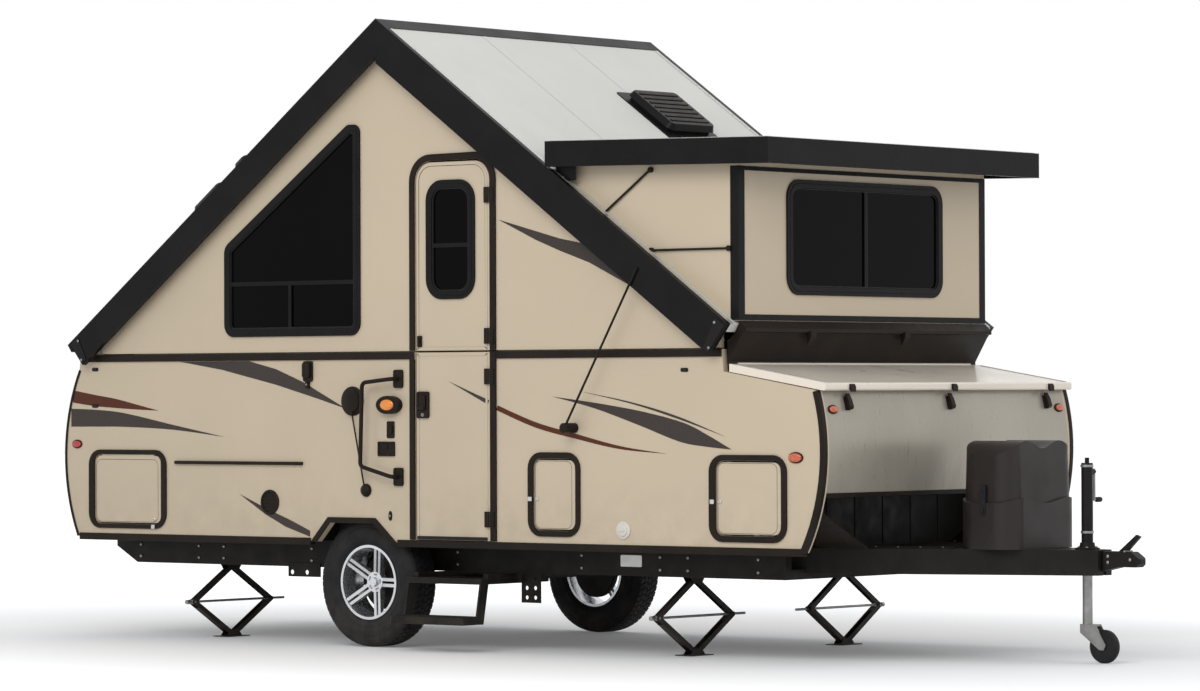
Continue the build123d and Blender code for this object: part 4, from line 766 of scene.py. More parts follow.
# Hatches: a fixed black frame round each leaf, its cam latch, and a pressed edge on the leaf.
# For each: the leaf's ends, the frame's ends, the lock's place and its post's place
HATCHES = {
    "rear": ((-2.973, -2.47, 0.635, 1.004), (-3.022, -2.423, 0.603, 1.037), (-2.52, 0.655), (-2.52, 0.615)),
    "mid": ((0.221, 0.488, 0.646, 1.0), (0.179, 0.526, 0.608, 1.04), (0.237, 0.8), (0.195, 0.8)),
    "front": ((1.409, 1.804, 0.639, 0.997), (1.361, 1.846, 0.6, 1.034), (1.425, 0.8), (1.383, 0.8)),
}
CAM_LOCK = [(0.011, 0), (0.011, 0.003), (0.008, 0.006), (0.002, 0.0062)]


def add_hatch_details(name, leaf_ends, frame_ends, lock, post):
    x0, x1, z0, z1 = leaf_ends
    rim = trim(f"{name}_frame")
    inner = rounded(x0 - 0.0075, x1 + 0.008, z0 - 0.0075, z1 + 0.008, 0.046, 6)
    outer = rounded(*frame_ends, 0.085, 6)
    rim.frame(CURB, outer, inner, HAIR, 0.009)
    rim.frame(CURB, outer, moved(inner, 0.012), 0.0091, 0.0105)
    rim.plates(CURB, (*around(*post, 0.013, 0.011), 0.003, 0.0106, 0.0135, silver))
    rim.done(0.0015)
    leaf = Piece(f"{name}_latch", silver, name)
    leaf.turned(CURB, *lock, HAIR, CAM_LOCK, 20)
    leaf.plates(CURB, (*around(*lock, 0.0055, 0.0012), 0.0005, 0.0063, 0.0068, black_trim))
    top_gap = 0.02 if name == "hatch_rear" else 0.004
    border = rounded(x0 + 0.004, x1 - 0.02, z0 + 0.004, z1 - top_gap, 0.036, 6)
    leaf.frame(CURB, border, moved(border, -0.0018), HAIR, 0.0008, black_trim)
    leaf.done(0.0006)


for name, sizes in HATCHES.items():
    add_hatch_details(f"hatch_{name}", *sizes)

# Edge trims: the skirt bands, the bands along the side walls' curved ends and the nose's corner
SKIRT_RUNS = ((-3.1, ARCH_FEET[0] - 0.002), (ARCH_FEET[1] + 0.002, 1.945))
# The skirt's section: out from the wall, and up
SKIRT_SECTION = (
    (HAIR, 0.5755),
    (0.007, 0.5735),
    (0.007, 0.537),
    (-0.03, 0.537),
    (-0.03, SKIRT_Z - HAIR),
    (HAIR, SKIRT_Z - HAIR),
)


def add_edge_trims(side, name):
    place = side_place(side)
    front_line, rear_line = three_point(*FRONT_ARC), three_point(*REAR_ARC)[::-1]
    skirt = trim(f"skirt_band_{name}")
    for x0, x1 in SKIRT_RUNS:
        skirt.prism(ACROSS, [(side * (WALL_Y + out), z) for out, z in SKIRT_SECTION], x0, x1)
    skirt.done(0.002)
    ends = trim(f"end_trim_{name}")
    ends.prism(place, band_along(front_line, 0.026), HAIR, 0.006)
    ends.prism(place, band_along(rear_line, 0.016), HAIR, 0.005)
    ends.done(0.0015)
    nose = trim(f"nose_trim_{name}")
    outline = [(x + 0.0055, z) for x, z in front_line] + front_line[::-1]
    nose.prism(SECTION, outline, side * (WALL_Y + 0.006), side * (WALL_Y - 0.02))
    nose.done(0.001)


for side, name in SIDES:
    add_edge_trims(side, name)

# Coloured film on the walls: tapered sweeps in a plain layout, as (across, up, half width)
RUST_SWEEP = ((0.227, 1.18, 0.0135), (0.489, 1.1235, 0.0125), (0.784, 1.0665, 0.0078), (1.084, 1.037, 0))
CURB_RUST = ((-0.034, 1.268, 0.013), *RUST_SWEEP)
DOOR_FILM = ((-0.366, 1.406, 0.0), (-0.213, 1.344, 0.0065), (-0.092, 1.296, 0.012))
REAR_RUST = (
    (-3.15, 1.3315, 0.034),
    (-2.99, 1.31, 0.031),
    (-2.827, 1.2935, 0.0255),
    (-2.65, 1.272, 0.013),
    (-2.487, 1.253, 0),
)
REAR_DARK = (
    (-3.168, 1.2135, 0.05),
    (-2.95, 1.21, 0.046),
    (-2.74, 1.2, 0.037),
    (-2.37, 1.161, 0.013),
    (-1.99, 1.111, 0),
)
FRONT_WEDGE = (
    (0.34, 1.325, 0),
    (0.62, 1.279, 0.014),
    (0.92, 1.214, 0.036),
    (1.18, 1.146, 0.049),
    (1.34, 1.103, 0.03),
    (1.5, 1.06, 0),
)
FRONT_LINE = ((0.52, 1.352, 0), (0.86, 1.292, 0.004), (1.16, 1.218, 0.006), (1.46, 1.124, 0))
# Plain outlines
BELT_WEDGE = (
    (-1.087, 1.262), (-1.4, 1.405), (-1.6, 1.476), (-1.8, 1.52),
    (-2.32, 1.52), (-2.0, 1.474), (-1.6, 1.392), (-1.3, 1.318),
)
ARCH_WEDGE = (
    (-1.872, 0.802), (-1.68, 0.695), (-1.53, 0.63), (-1.353, 0.58),
    (-1.353, 0.612), (-1.5, 0.668), (-1.66, 0.722),
)
GABLE_WEDGE = (
    (-0.022, 2.24), (0.231, 2.13), (0.391, 2.071), (0.586, 2.007), (0.861, 1.882), (1.03, 1.795),
    (1.04, 1.84), (0.7, 2.088), (0.605, 2.094), (0.391, 2.133), (0.16, 2.193),
)
FILM_OUT = 0.0011


def add_films():
    dark = (*(swoosh(points) for points in (REAR_DARK, FRONT_WEDGE, FRONT_LINE)), BELT_WEDGE, ARCH_WEDGE)
    for side, name in SIDES:
        place = side_place(side)
        walls = Piece(f"wall_film_{name}", charcoal)
        for outline in dark:
            walls.prism(place, outline, HAIR, FILM_OUT)
        for points in (REAR_RUST, CURB_RUST if side < 0 else DOOR_FILM + RUST_SWEEP):
            walls.prism(place, swoosh(points), HAIR, FILM_OUT, rust)
        walls.done(0)
        gable = Piece(f"gable_film_{name}", charcoal, f"gable_{name}")
        gable.prism(place, GABLE_WEDGE, HAIR, FILM_OUT)
        gable.done(0)
    door = Piece("door_film", charcoal, "door_lower")
    door.prism(CURB, swoosh(DOOR_FILM), 0.0009, 0.0014)
    door.done(0)


add_films()

# Lamps: their place and half sizes, then the lens, how proud it stands and how upright its sides are
NOSE_LAMPS, TAIL_LAMPS = bent(PANEL_ARC, 1.262, 1), bent(REAR_ARC, 1.4, -1)


def add_marker(name, place, u, v, half_wide, half_high, lens_finish, proud, bluff=0.35):
    lamp = Piece(name, black_trim, slotted=False)
    lamp.dome(place, u, v, half_wide + 0.006, half_high + 0.006, HAIR, 0.006, 0.7)
    lamp.dome(place, u, v, half_wide, half_high, 0.0062, proud, bluff, lens_finish)
    lamp.done(0)


def add_markers():
    add_marker("porch_lamp", CURB, -0.766, 1.283, 0.046, 0.029, amber, 0.05, 0.8)
    for side, name in SIDES:
        add_marker(f"side_marker_front_{name}", side_place(side), 1.9, 1.022, 0.04, 0.022, orange, 0.02)
    for side, name in SIDES:
        add_marker(f"side_marker_rear_{name}", side_place(side), -3.12, 1.067, 0.034, 0.018, red, 0.016)
    for side, name in SIDES:
        add_marker(f"front_marker_{name}", NOSE_LAMPS, side * 0.985, 0, 0.034, 0.017, orange, 0.018)
        add_marker(f"rear_marker_{name}", TAIL_LAMPS, side * 0.96, 0, 0.034, 0.017, red, 0.018)
    for u, tag in ((-0.16, "left"), (0.0, "middle"), (0.16, "right")):
        add_marker(f"rear_marker_{tag}", TAIL_LAMPS, u, 0, 0.034, 0.014, red, 0.016)


add_markers()

# Rear wall: tail lamps and a blank plate place between them, and the bands at its two ends
TAIL_LENSES = ((0.034, 0.095, red), (-0.03, 0.03, orange), (-0.095, -0.034, red))
REAR_BANDS = ((0.585, 0.024, 0.006), (1.462, 0.012, 0.005))


def add_rear_details():
    place = bent(REAR_ARC, 0.665, -1)
    for side, name in SIDES:
        lamp = Piece(f"tail_lamp_{name}", black_trim, slotted=False)
        u = side * 0.86
        lamp.plates(place, (*around(u, 0, 0.092, 0.105), 0.03, -0.006, 0.006))
        for z0, z1, finish in TAIL_LENSES:
            outline = rounded(u - 0.082, u + 0.082, z0, z1, 0.016)
            layers = ((outline, 0.0062), (outline, 0.014), (moved(outline, -0.006), 0.018))
            lamp.stack(place, layers, finish=finish)
        lamp.done(0.001)
    plate = Piece("number_plate_place", silver)
    plate.plates(
        place,
        (-0.66, -0.34, -0.08, 0.08, 0.008, -0.004, 0.003),
        (-0.65, -0.35, -0.07, 0.07, 0.006, 0.0031, 0.0038, pale_plastic),
    )
    for u in (-0.59, -0.41):
        plate.bolt(place, u, 0.055, 0.0039, 0.007, 0.003, zinc)
    plate.plates(place, (-0.56, -0.44, 0.088, 0.112, 0.006, -0.005, 0.016, black_trim))
    plate.done(0.001)
    bands = trim("rear_skirt_band")
    for z, half, proud in REAR_BANDS:
        bands.plates(bent(REAR_ARC, z, -1), (*around(0, 0, 1.04, half), 0.002, HAIR, proud))
    bands.done(0.0015)


add_rear_details()

# Fittings on the door side, their turned shapes as (radius, height)
CABLE_CAP = [
    (0.078, 0), (0.078, 0.008), (0.07, 0.014), (0.066, 0.014),
    (0.06, 0.026), (0.03, 0.034), (0.004, 0.036),
]
LOW_CAP = [(0.035, 0), (0.035, 0.006), (0.03, 0.016), (0.016, 0.026), (0.003, 0.029)]
ROUND_VENT = [(0.067, 0), (0.067, 0.005), (0.061, 0.01), (0.054, 0.01), (0.052, 0.004), (0.002, 0.004)]
SMALL_LOCK = [(0.0065, 0), (0.0065, 0.002), (0.003, 0.003)]
WATER_CAP = [
    (0.046, 0), (0.046, 0.004), (0.041, 0.008), (0.033, 0.008),
    (0.031, 0.014), (0.027, 0.016), (0.003, 0.016),
]
VENT_U, VENT_V, VENT_PITCH = -1.645, 0.761, 0.019


def add_cable_cap():
    cap = trim("cable_cap")
    cap.turned(CURB, -1.041, 1.303, HAIR, CABLE_CAP, 40)
    cap.plates(CURB, (-1.062, -1.02, 1.235, 1.252, 0.004, 0.014, 0.03))
    cap.tube([CURB.at(-1.03, 1.24, 0.022), CURB.at(-0.945, 0.845, 0.018)], 0.0042)
    cap.turned(CURB, -0.945, 0.832, HAIR, LOW_CAP, 28)
    cap.done(0.001)


def add_switches():
    switch = trim("switch_plates")
    box, hole = rounded(-0.86, -0.741, 1.013, 1.09, 0.006), rounded(-0.85, -0.751, 1.022, 1.081, 0.004)
    switch.frame(CURB, box, hole, HAIR, 0.009)
    switch.plates(
        CURB,
        (-0.797, -0.744, 1.108, 1.197, 0.008, HAIR, 0.006),
        (-0.786, -0.755, 1.13, 1.175, 0.005, 0.0062, 0.013),
        (-0.8495, -0.7515, 1.0225, 1.0805, 0.004, HAIR, 0.006),
        (-0.812, -0.789, 1.05, 1.076, 0.003, 0.0062, 0.0105),
    )
    switch.done(0.001)
    lamp = trim("awning_lamp")
    lamp.plates(
        CURB,
        (-1.395, -1.327, 1.408, 1.517, 0.012, HAIR, 0.01),
        (-1.386, -1.336, 1.43, 1.508, 0.01, 0.0101, 0.028),
        (-1.372, -1.35, 1.372, 1.41, 0.004, HAIR, 0.018),
    )
    lamp.bolt(CURB, -1.361, 1.392, 0.0181, 0.006, 0.004, zinc)
    lamp.done(0.0012)


def add_curb_fittings():
    vent = trim("round_vent")
    vent.turned(CURB, VENT_U, VENT_V, HAIR, ROUND_VENT, 40)
    for k in (-2, -1, 0, 1, 2):
        half = sqrt(0.051**2 - (VENT_PITCH * k) ** 2)
        vent.plates(CURB, (*around(VENT_U, VENT_V + VENT_PITCH * k, half, 0.0045), 0.001, 0.0041, 0.009))
    vent.done(0.0006)
    lock = Piece("fuse_lock", black_trim, slotted=False)
    lock.dome(CURB, -0.776, 0.699, 0.013, 0.026, HAIR, 0.005, 0.5)
    lock.turned(CURB, -0.776, 0.699, 0.0051, SMALL_LOCK, 16, zinc)
    lock.done(0)
    inlet = Piece("water_inlet_cap", pale_plastic)
    inlet.turned(CURB, 0.806, 0.648, HAIR, WATER_CAP, 36)
    inlet.plates(CURB, (0.786, 0.826, 0.643, 0.653, 0.003, 0.0161, 0.021))
    inlet.done(0.0008)
    slots = trim("wall_slots")
    for u, v in ((-2.977, 1.481), (-2.977, 1.279), (1.204, 1.457)):
        lip = (*around(u, v, 0.024, 0.01), 0.008, 0.0012, 0.004)
        slots.plates(CURB, lip, (*around(u, v, 0.015, 0.004), 0.003, 0.0041, 0.0055, hard_rubber))
    slots.done(0.0006)


add_cable_cap()
add_switches()
add_curb_fittings()

# Off side: two louvred vents, a service hatch and three small covers
BLADE_PITCH = 0.024
# A blade's section: out from the wall, and up from its foot
BLADE = ((0.0018, 0), (0.01, -0.004), (0.01, 0), (0.003, 0.013), (0.0018, 0.013))
SMALL_COVERS = (
    ("power_inlet", -2.15, 0.78, 0.055),
    ("tank_filler", -2.15, 1.0, 0.07),
    ("outdoor_socket", 1.15, 0.86, 0.05),
)


def add_louvre(name, x0, x1, z0, z1):
    vent = Piece(name, pale_plastic)
    outer, inner = (rounded(x0 + e, x1 - e, z0 + e, z1 - e, r) for e, r in ((0, 0.012), (0.026, 0.006)))
    vent.frame(OFF, outer, inner, HAIR, 0.01)
    inset = 0.0262
    vent.plates(OFF, (x0 + inset, x1 - inset, z0 + inset, z1 - inset, 0.006, HAIR, 0.0016, hard_rubber))
    for k in range(int((z1 - z0 - 0.06) / BLADE_PITCH)):
        foot = z0 + 0.032 + k * BLADE_PITCH
        vent.prism(ACROSS, [(WALL_Y + out, foot + up) for out, up in BLADE], x0 + 0.028, x1 - 0.028)
    vent.done(0.0006)


def add_off_fittings():
    hatch = trim("off_hatch_frame")
    outline = rounded(-2.96, -2.48, 0.64, 0.99, 0.045)
    hatch.frame(OFF, moved(outline, 0.034), outline, HAIR, 0.009)
    hatch.prism(OFF, moved(outline, -0.006), HAIR, 0.003, wall_paint)
    hatch.turned(OFF, -2.52, 0.815, 0.0031, [(0.011, 0), (0.011, 0.003), (0.006, 0.005)], 20, silver)
    hatch.done(0.0015)
    for name, u, v, half in SMALL_COVERS:
        box = Piece(name, pale_plastic)
        outline = rounded(*around(u, v, half, half), 0.014)
        steps = ((-0.01, 0.0081), (-0.012, 0.018), (-0.02, 0.022))
        box.prism(OFF, outline, HAIR, 0.008)
        box.stack(OFF, [(moved(outline, inset), n) for inset, n in steps])
        box.turned(OFF, u, v - half * 0.45, 0.0221, [(0.008, 0), (0.008, 0.002), (0.004, 0.003)], 16, zinc)
        box.done(0.001)


add_louvre("fridge_vent_low", 0.25, 0.8, 0.76, 1.06)
add_louvre("fridge_vent_high", 0.25, 0.8, 1.25, 1.48)
add_off_fittings()

# Dormer: corner posts, sill and head bands, and the folding struts of its cheeks
POST_ENDS = (1.7025, 2.47)
DORMER_BANDS = ((1.7025, 1.732), (2.448, 2.469))
STRUT_RUNS = (((0.674, 2.252), (0.981, 2.468)), ((0.985, 2.06), (1.482, 2.06)))
STRUT_EYES = ((0.674, 2.252), (0.981, 2.465), (0.985, 2.06), (1.478, 2.06))
APRON_LATCH = (
    (1.5605, 1.645), (1.5605, 1.585), (1.5635, 1.58), (1.59, 1.625),
    (1.59, 1.652), (1.581, 1.652), (1.581, 1.6455),
)


def add_dormer_cheek(side, name):
    post = Piece(f"dormer_post_{name}", gloss_black)
    edge, inner, wall = (side * (CHEEK_Y + out) for out in (0.004, -0.046, HAIR))
    front, face, back = (FACE_X + out for out in (0.004, HAIR, -0.05))
    outline = ((front, edge), (front, inner), (face, inner), (face, wall), (back, wall), (back, edge))
    post.prism(PLAN, outline, *POST_ENDS)
    post.done(0.0015)
    strut = Piece(f"dormer_strut_{name}", zinc, slotted=False)
    for run in STRUT_RUNS:
        strut.tube([(x, side * (CHEEK_Y + 0.01), z) for x, z in run], 0.006, finish=black_trim)
    eye = [(0.014, 0), (0.014, 0.016), (0.01, 0.02)]
    for x, z in STRUT_EYES:
        strut.lathe((x, wall, z), side * Y, eye, 16, finish=black_trim)
    strut.done(0.0006)


def add_dormer_bands():
    rows = [(-1.0145, 1.0145, low, high, 0.002, HAIR, 0.0042) for low, high in DORMER_BANDS]
    add_plates("dormer_face_bands", gloss_black, "trailer", 0.001, FACE, *rows)
    apron = trim("apron_latches")
    for u in (-0.516, 0.292):
        apron.prism(SECTION, APRON_LATCH, u - 0.022, u + 0.022)
    apron.done(0.002)


for side, name in SIDES:
    add_dormer_cheek(side, name)
add_dormer_bands()

# Roof: aluminium edge strips, seams, board end plates, the vent lid's ribs and the dormer's roof skin
STRIP_BOLTS = 18
VENT_MIDDLE = (0.472, (-0.13 - RIDGE[0]) / FRONT_SLOPE.up.x)
HAT_FALL, HAT_EDGE = 0.027, 0.016


def add_roof_strips():
    strips = Piece("roof_edge_strips", silver)
    for place in (REAR_SLOPE, FRONT_SLOPE):
        for side in (-1, 1):
            edges = sorted((side * 1.096, side * 1.1225))
            strips.prism(place, rectangle(*edges, 0.09, place.length - 0.006), HAIR, 0.0035)
            for k in range(STRIP_BOLTS):
                v = 0.14 + k * (place.length - 0.24) / (STRIP_BOLTS - 1)
                strips.bolt(place, side * 1.109, v, 0.0036, 0.0045, 0.0022)
    strips.done(0.0008)
    seams = Piece("roof_seams", roof_skin)
    for place, limit in ((REAR_SLOPE, REAR_SLOPE.length - 0.01), (FRONT_SLOPE, 1.36)):
        for u in (-0.36, 0.36):
            seams.prism(place, rectangle(u - 0.016, u + 0.016, 0.09, limit), HAIR, 0.0022)
    seams.done(0.001)
    u, middle = VENT_MIDDLE
    ribs = [(*around(u, middle + k * 0.044, 0.165, 0.008), 0.007, 0.0585, 0.0645) for k in range(-3, 4)]
    add_plates("vent_lid_ribs", black_trim, "trailer", 0.002, FRONT_SLOPE, *ribs)


def add_end_plates(side, name):
    ends = Piece(f"board_end_plates_{name}", zinc, slotted=False)
    place = side_place(side, BOARD_Y)
    for slope, depth in ((FRONT_SLOPE, 0.188), (REAR_SLOPE, 0.155)):
        corners = ((0.075, 0.01), (0.008, 0.01), (0.017, depth - 0.006), (0.055, depth - 0.006))
        points = [slope.at(0, slope.length - back, -n) for back, n in corners]
        ends.prism(place, [(p.x, p.z) for p in points], HAIR, 0.004, chassis_paint)
        middle = (points[0] + points[2]) / 2
        for corner in (points[0], points[2]):
            spot = corner * 0.72 + middle * 0.28
            ends.bolt(place, spot.x, spot.z, 0.0041, 0.008, 0.004)
    ends.done(0.001)


def add_hat_details():
    back, front = HAT_LOW.x, HAT_HIGH.x
    drop = HAT_EDGE * HAT_FALL / (front - back)
    rear_z, front_z = HAT_HIGH.z - drop + HAIR, HAT_HIGH.z - HAT_FALL + drop + HAIR
    section = [(back + HAT_EDGE, rear_z), (front - HAT_EDGE, front_z)]
    section += [(front - 0.018, front_z + 0.0035), (back + 0.018, rear_z + 0.0035)]
    sheet = Piece("dormer_roof_skin", roof_skin)
    sheet.prism(SECTION, section, HAT_LOW.y + HAT_EDGE, HAT_HIGH.y - HAT_EDGE)
    sheet.done(0.001)
    brackets = Piece("dormer_roof_corners", gloss_black)
    for side in (-1, 1):
        brackets.prism(PLAN, rectangle(back + 0.018, back + 0.15, side * 1.105, side * 1.109), 2.425, 2.5)
        brackets.prism(PLAN, rectangle(1.56, 1.745, side * 1.0, side * 1.03), 2.5, 2.53)
    brackets.done(0.0015)


add_roof_strips()
for side, name in SIDES:
    add_end_plates(side, name)
add_hat_details()

# Front trunk: draw latches split between the panel and the lid, and the lid's edge strips
LATCH_PLACES = (("curb", -0.86), ("middle", 0.009), ("off", 0.874))
# A latch's section on the panel: up and out, and its catch's on the lid: across and up
LATCH_BODY = (
    (-0.034, 0.0062), (-0.04, 0.02), (-0.028, 0.03), (0.01, 0.026),
    (0.042, 0.016), (0.044, 0.0105), (0.02, 0.01), (0.012, 0.0062),
)
CATCH_BODY = (
    (2.0785, 1.352), (2.0785, 1.384), (2.084, 1.384), (2.092, 1.37),
    (2.092, 1.345), (2.0855, 1.345), (2.084, 1.352),
)
LID_STRIP = ((1.52, 1.4797), (2.06, 1.3922), (2.06, 1.3952), (1.52, 1.4827))


def add_trunk_details():
    place = bent(PANEL_ARC, 1.29, 1)
    edge_on = Surface(place.origin, place.up, place.out, place.along)
    for tag, y in LATCH_PLACES:
        latch = trim(f"trunk_latch_{tag}")
        latch.plates(place, (y - 0.022, y + 0.022, -0.04, 0.03, 0.008, HAIR, 0.006))
        latch.prism(edge_on, LATCH_BODY, y - 0.016, y + 0.016)
        latch.done(0.002)
        catch = trim(f"trunk_catch_{tag}", "trunk_lid")
        catch.prism(SECTION, CATCH_BODY, y - 0.02, y + 0.02)
        catch.done(0.0015)
    edge = Piece("trunk_lid_edges", silver, "trunk_lid")
    for y in (-1.046, 1.046):
        edge.prism(SECTION, LID_STRIP, y - 0.008, y + 0.008)
    edge.done(0.001)


add_trunk_details()

# Black covers over the door's hinges, split at the pin, and a dark sheet over the front recess and under
# the front panel: partly its black mesh, partly painted shade
HINGES = (("door_lower", "trailer", (0.69, 1.43)), ("door_upper", "gable_curb", (1.64, 2.37)))
HINGE_HALF = 0.041
HINGE_PIN = [(0.0062, 0), (0.0065, 0.001), (0.0065, 0.081), (0.0062, 0.082)]


def add_hinge_covers():
    for body, jamb, heights in HINGES:
        fixed, swung = trim(f"{body}_jamb_covers", jamb), trim(f"{body}_hinge_covers", body)
        for z in heights:
            low, high = z - HINGE_HALF, z + HINGE_HALF
            fixed.plates(CURB, (-0.0748, -0.0465, low, high, 0.002, 0.0106, 0.0149))
            swung.plates(CURB, (-0.1108, -0.0835, low, high, 0.002, 0.0025, 0.0149))
            swung.lathe((-0.082, -WALL_Y - 0.014, low), Z, HINGE_PIN, 20)
        fixed.done(0.0008)
        swung.done(0.0005)


def add_recess_mesh_and_shade():
    # Painted shade: a dark ribbed sheet over the recess face and under the front panel's overhang, partly
    # standing for the recess's black mesh
    liner = Piece("recess_mesh_and_shade", chassis_paint)
    liner.prism(ACROSS, rectangle(-1.038, 1.038, 0.5615, 0.8285), 1.6405, 1.643)
    for k in range(9):
        y = -0.96 + 0.24 * k
        liner.prism(ACROSS, rectangle(y - 0.01, y + 0.01, 0.566, 0.824), 1.6431, 1.647)
    liner.prism(ACROSS, rectangle(-1.038, 1.038, 0.8255, 0.8295), 1.6475, 2.04)
    liner.done(0.001)
    place, lip = bent(PANEL_ARC, 0.842, 1), (-1.03, 1.03, -0.012, 0.01, 0.002, HAIR, 0.004)
    add_plates("front_panel_lip", black_trim, "trailer", 0.001, place, lip)


add_hinge_covers()
add_recess_mesh_and_shade()

# Wheels: treaded tyres in place of the plain ones, and what bolts to the rims
WHEEL_X, WHEEL_Z, WHEEL_Y = -0.988, 0.343, 0.9385
# The tyre's outline from bead to shoulder: radius, and distance from its middle plane
SIDEWALL = [
    (0.192, 0.0705), (0.199, 0.079), (0.207, 0.079), (0.211, 0.0835), (0.232, 0.0905),
    (0.236, 0.089), (0.252, 0.0935), (0.268, 0.0947), (0.29, 0.0925), (0.294, 0.0905),
    (0.298, 0.0915), (0.318, 0.085), (0.331, 0.078), (0.3345, 0.072),
]
CROWN = (0.335, 0.0)
# Tread rows: their two edges across the tyre, and how far a block leans along it
TREAD_ROWS = (
    (-0.0725, -0.047, 0.3),
    (-0.043, -0.017, -0.22),
    (-0.013, 0.013, 0.16),
    (0.017, 0.043, 0.22),
    (0.047, 0.0725, -0.3),
)
TREAD_BLOCKS = 62
TREAD_PITCH = 2 * pi / TREAD_BLOCKS
# A block's layers: radius, and how much they shrink
BLOCK_LAYERS = ((0.3335, 0.0), (0.3418, 0.004), (0.3429, 0.012))
SHOULDER_N, SHOULDER_RADIUS = 0.07, 0.3395
WHEEL_NUT = [(0.0058, 0), (0.0058, 0.012), (0.0045, 0.0155), (0.002, 0.016)]
DRUM = [(0.03, 0), (0.14, 0), (0.146, 0.006), (0.146, 0.03), (0.138, 0.04), (0.06, 0.046), (0.03, 0.046)]


def tread_corner(n, share, start, lean, radius, shrink):
    """One corner of a tread block: across the tyre, outward and along."""
    edge = abs(n) > SHOULDER_N
    a = start + TREAD_PITCH * (share + (0.5 - share) * shrink * 6 + lean)
    height = min(radius, SHOULDER_RADIUS) if edge else radius
    return Vector((height * cos(a), n * (1 - shrink * (0.5 if edge else 0.0)), height * sin(a)))


def add_tyre(side, name):
    centre = Vector((WHEEL_X, side * WHEEL_Y, WHEEL_Z))
    tyre = Piece(f"treaded_tyre_{name}", tyre_rubber, f"wheel_{name}")
    tyre.lathe(centre, Y, SIDEWALL + [CROWN] + [(r, -n) for r, n in SIDEWALL[::-1]], 96, close=True)
    for row, (n0, n1, lean) in enumerate(TREAD_ROWS):
        corners = ((n0, 0.06, 0), (n0, 0.9, 0), (n1, 0.9, lean), (n1, 0.06, lean))
        for k in range(TREAD_BLOCKS):
            start = (k + 0.5 * (row % 2)) * TREAD_PITCH
            rings = []
            for radius, shrink in BLOCK_LAYERS:
                ring = [tread_corner(n, share, start, tilt, radius, shrink) for n, share, tilt in corners]
                rings.append([centre + point for point in ring])
            tyre.loft(rings)
    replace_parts(tyre.done(0), f"tyre_{name}")


def about_wheel(radius, degrees, y):
    a = radians(degrees)
    return Vector((WHEEL_X + radius * cos(a), y, WHEEL_Z + radius * sin(a)))


def add_wheel_details(side, name):
    out = side * Y
    hub = Piece(f"wheel_nuts_{name}", zinc, f"wheel_{name}")
    for k in range(5):
        hub.lathe(about_wheel(0.04, 90 + 72 * k, side * 0.958), out, WHEEL_NUT, 6)
    stem = about_wheel(0.166, -54, side * 0.975)
    hub.tube([stem, stem + out * 0.03], 0.0045, finish=hard_rubber)
    hub.done(0.0006)
    drum = Piece(f"brake_drum_{name}", chassis_paint, f"wheel_{name}")
    drum.lathe((WHEEL_X, side * 0.862, WHEEL_Z), out, DRUM, 40, close=True)
    drum.done(0.001)


for side, name in SIDES:
    add_tyre(side, name)
    add_wheel_details(side, name)

# Tongue: the deck's mesh and edging, the jack's flange, crank and collars, the coupler and the straps
TONGUE_START, TONGUE_END = (1.25, 0.775), (2.99, 0.062)
# The mesh: zigzag wires across the deck, how far apart they are and how far each one swings
MESH_WIRES, MESH_START, MESH_PITCH = 28, 1.664, 0.022
MESH_STEP, MESH_SWING = 0.025, 0.01
EDGING_RUN, EDGING_WIDE, EDGING_BOLTS = (1.655, 2.29), 0.018, 6
FLANGE = [(0.0302, 0), (0.062, 0), (0.062, 0.008), (0.04, 0.01), (0.036, 0.034), (0.0302, 0.034)]
CRANK_BOSS = [(0.016, 0), (0.016, 0.022), (0.01, 0.026), (0.01, 0.04)]
CRANK_GRIP = [(0.009, 0), (0.013, 0.006), (0.013, 0.042), (0.009, 0.048)]
COLLAR = [(0.0292, 0), (0.0325, 0), (0.0325, 0.012), (0.0292, 0.012)]


def tongue_half(x):
    """Half the tongue's width between its rails' middles."""
    share = (x - TONGUE_START[0]) / (TONGUE_END[0] - TONGUE_START[0])
    return TONGUE_START[1] + (TONGUE_END[1] - TONGUE_START[1]) * share


def add_deck():
    deck = Piece("deck_mesh", chassis_paint)
    for k in range(MESH_WIRES):
        x = MESH_START + k * MESH_PITCH
        count = int(2 * (tongue_half(x) - 0.062) / MESH_STEP)
        points = []
        for i in range(count + 1):
            zigzag = MESH_SWING if i % 2 else -MESH_SWING
            points.append((x + zigzag, (i - count / 2) * MESH_STEP, DECK_Z + 0.0016))
        deck.tube(points, 0.0016, 4)
    deck.done(0)
    edging = Piece("deck_edging", chassis_paint)
    for side in (-1, 1):
        outer = [(x, side * (tongue_half(x) - 0.045)) for x in EDGING_RUN]
        inner = [(x, y - side * EDGING_WIDE) for x, y in outer]
        edging.prism(PLAN, outer + inner[::-1], DECK_Z + HAIR, DECK_Z + 0.006)
        start, end = (Vector((x, y - side * EDGING_WIDE / 2)) for x, y in outer)
        for k in range(EDGING_BOLTS):
            spot = start.lerp(end, (k + 0.5) / EDGING_BOLTS)
            edging.bolt(PLAN, spot.x, spot.y, DECK_Z + 0.0061, 0.006, 0.004, zinc)
    edging.done(0.001)


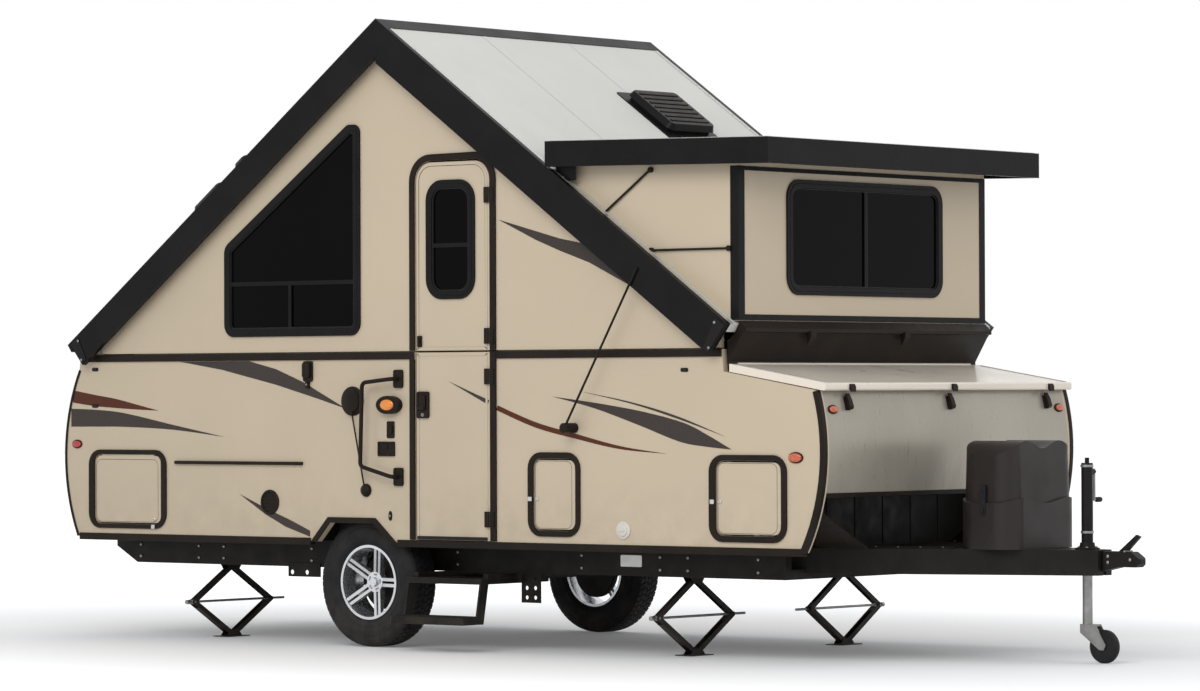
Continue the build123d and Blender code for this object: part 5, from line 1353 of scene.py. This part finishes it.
def add_jack_details():
    flange = Piece("jack_flange", chassis_paint)
    flange.lathe((JACK_TUBE_X, 0, DECK_Z + HAIR), Z, FLANGE, 32, close=True)
    for u, v in ellipse(JACK_TUBE_X, 0, 0.05, 0.05, 3, pi / 3):
        flange.bolt(PLAN, u, v, DECK_Z + 0.0095, 0.008, 0.006, zinc)
    flange.done(0.001)
    crank = Piece("jack_crank", zinc)
    crank.lathe((JACK_TUBE_X, 0.027, 0.945), Y, CRANK_BOSS, 20, finish=chassis_paint)
    crank.tube([(JACK_TUBE_X, 0.064, 0.96), (JACK_TUBE_X, 0.064, 0.8)], 0.006)
    crank.tube([(JACK_TUBE_X, 0.06, 0.806), (JACK_TUBE_X, 0.125, 0.806)], 0.005)
    crank.lathe((JACK_TUBE_X, 0.076, 0.806), Y, CRANK_GRIP, 18, finish=hard_rubber)
    crank.done(0.0006)
    collars = Piece("jack_collars", zinc)
    for low in (0.64, 0.968):
        collars.lathe((JACK_TUBE_X, 0, low), Z, COLLAR, 32, close=True)
    collars.done(0.001)


def add_tongue_details():
    coupling = Piece("coupler_details", zinc)
    for side in (-1, 1):
        for u, v in ((3.03, 0.5), (3.03, 0.53), (3.16, 0.515)):
            coupling.bolt(side_place(side, 0.032), u, v, HAIR, 0.009, 0.006)
    coupling.tube([(3.128, -0.036, 0.556), (3.128, 0.036, 0.556)], 0.005)
    coupling.done(0.0006)
    straps = Piece("cover_straps", hard_rubber)
    for side in (-1, 1):
        straps.plates(
            side_place(side, 0.305),
            (2.455, 2.489, 0.73, 0.88, 0.008, -0.01, 0.0045),
            (2.462, 2.482, 0.742, 0.768, 0.005, 0.0046, 0.012),
            (2.46, 2.484, 0.846, 0.858, 0.003, 0.0046, 0.01),
        )
    straps.done(0.0015)


add_deck()
add_jack_details()
add_tongue_details()

# Below the floor: hanger plate, rail bolts, a blank plate and the step's grips and bolts
HANGER_PLATES = ((-1.77, -1.6905, -1.742), (-1.69, -1.534, -1.633))
RAIL_BOLTS = (-2.9, -2.45, -2.26, -1.6, -0.55, 0.3, 0.82, 1.0, 1.45)
STEP_GRIPS = (-1.225, -1.195, -1.165, -1.135, -1.105)


def add_underside():
    rail, tread = side_place(-1, RAIL_Y), side_place(-1, 1.25)
    plate = Piece("hanger_plate", chassis_paint)
    for x0, x1, hole in HANGER_PLATES:
        outer = rounded(x0, x1, 0.351, 0.425, 0.004)
        plate.frame(rail, outer, ellipse(hole, 0.375, 0.013, 0.013, len(outer), -pi / 2), HAIR, 0.006)
    plate.done(0.0006)
    bolts = Piece("rail_bolts", zinc)
    for side in (-1, 1):
        for u in RAIL_BOLTS:
            for v in (0.44, 0.505):
                bolts.bolt(side_place(side, RAIL_Y), u, v, HAIR, 0.009, 0.006)
    bolts.done(0)
    blank = (0.56, 0.7, 0.452, 0.512, 0.006, HAIR, 0.003)
    add_plates("blank_plate", silver, "trailer", 0.0006, rail, blank)
    grips = [(-0.622, -0.142, y - 0.008, y + 0.008, 0.004, 0.1843, 0.1875) for y in STEP_GRIPS]
    add_plates("step_grips", hard_rubber, "entry_step", 0.0006, PLAN, *grips)
    ends = Piece("step_bolts", zinc, "entry_step")
    for u in (-0.6, -0.164):
        ends.bolt(tread, u, 0.165, -0.0068, 0.009, 0.006)
    ends.done(0)


add_underside()
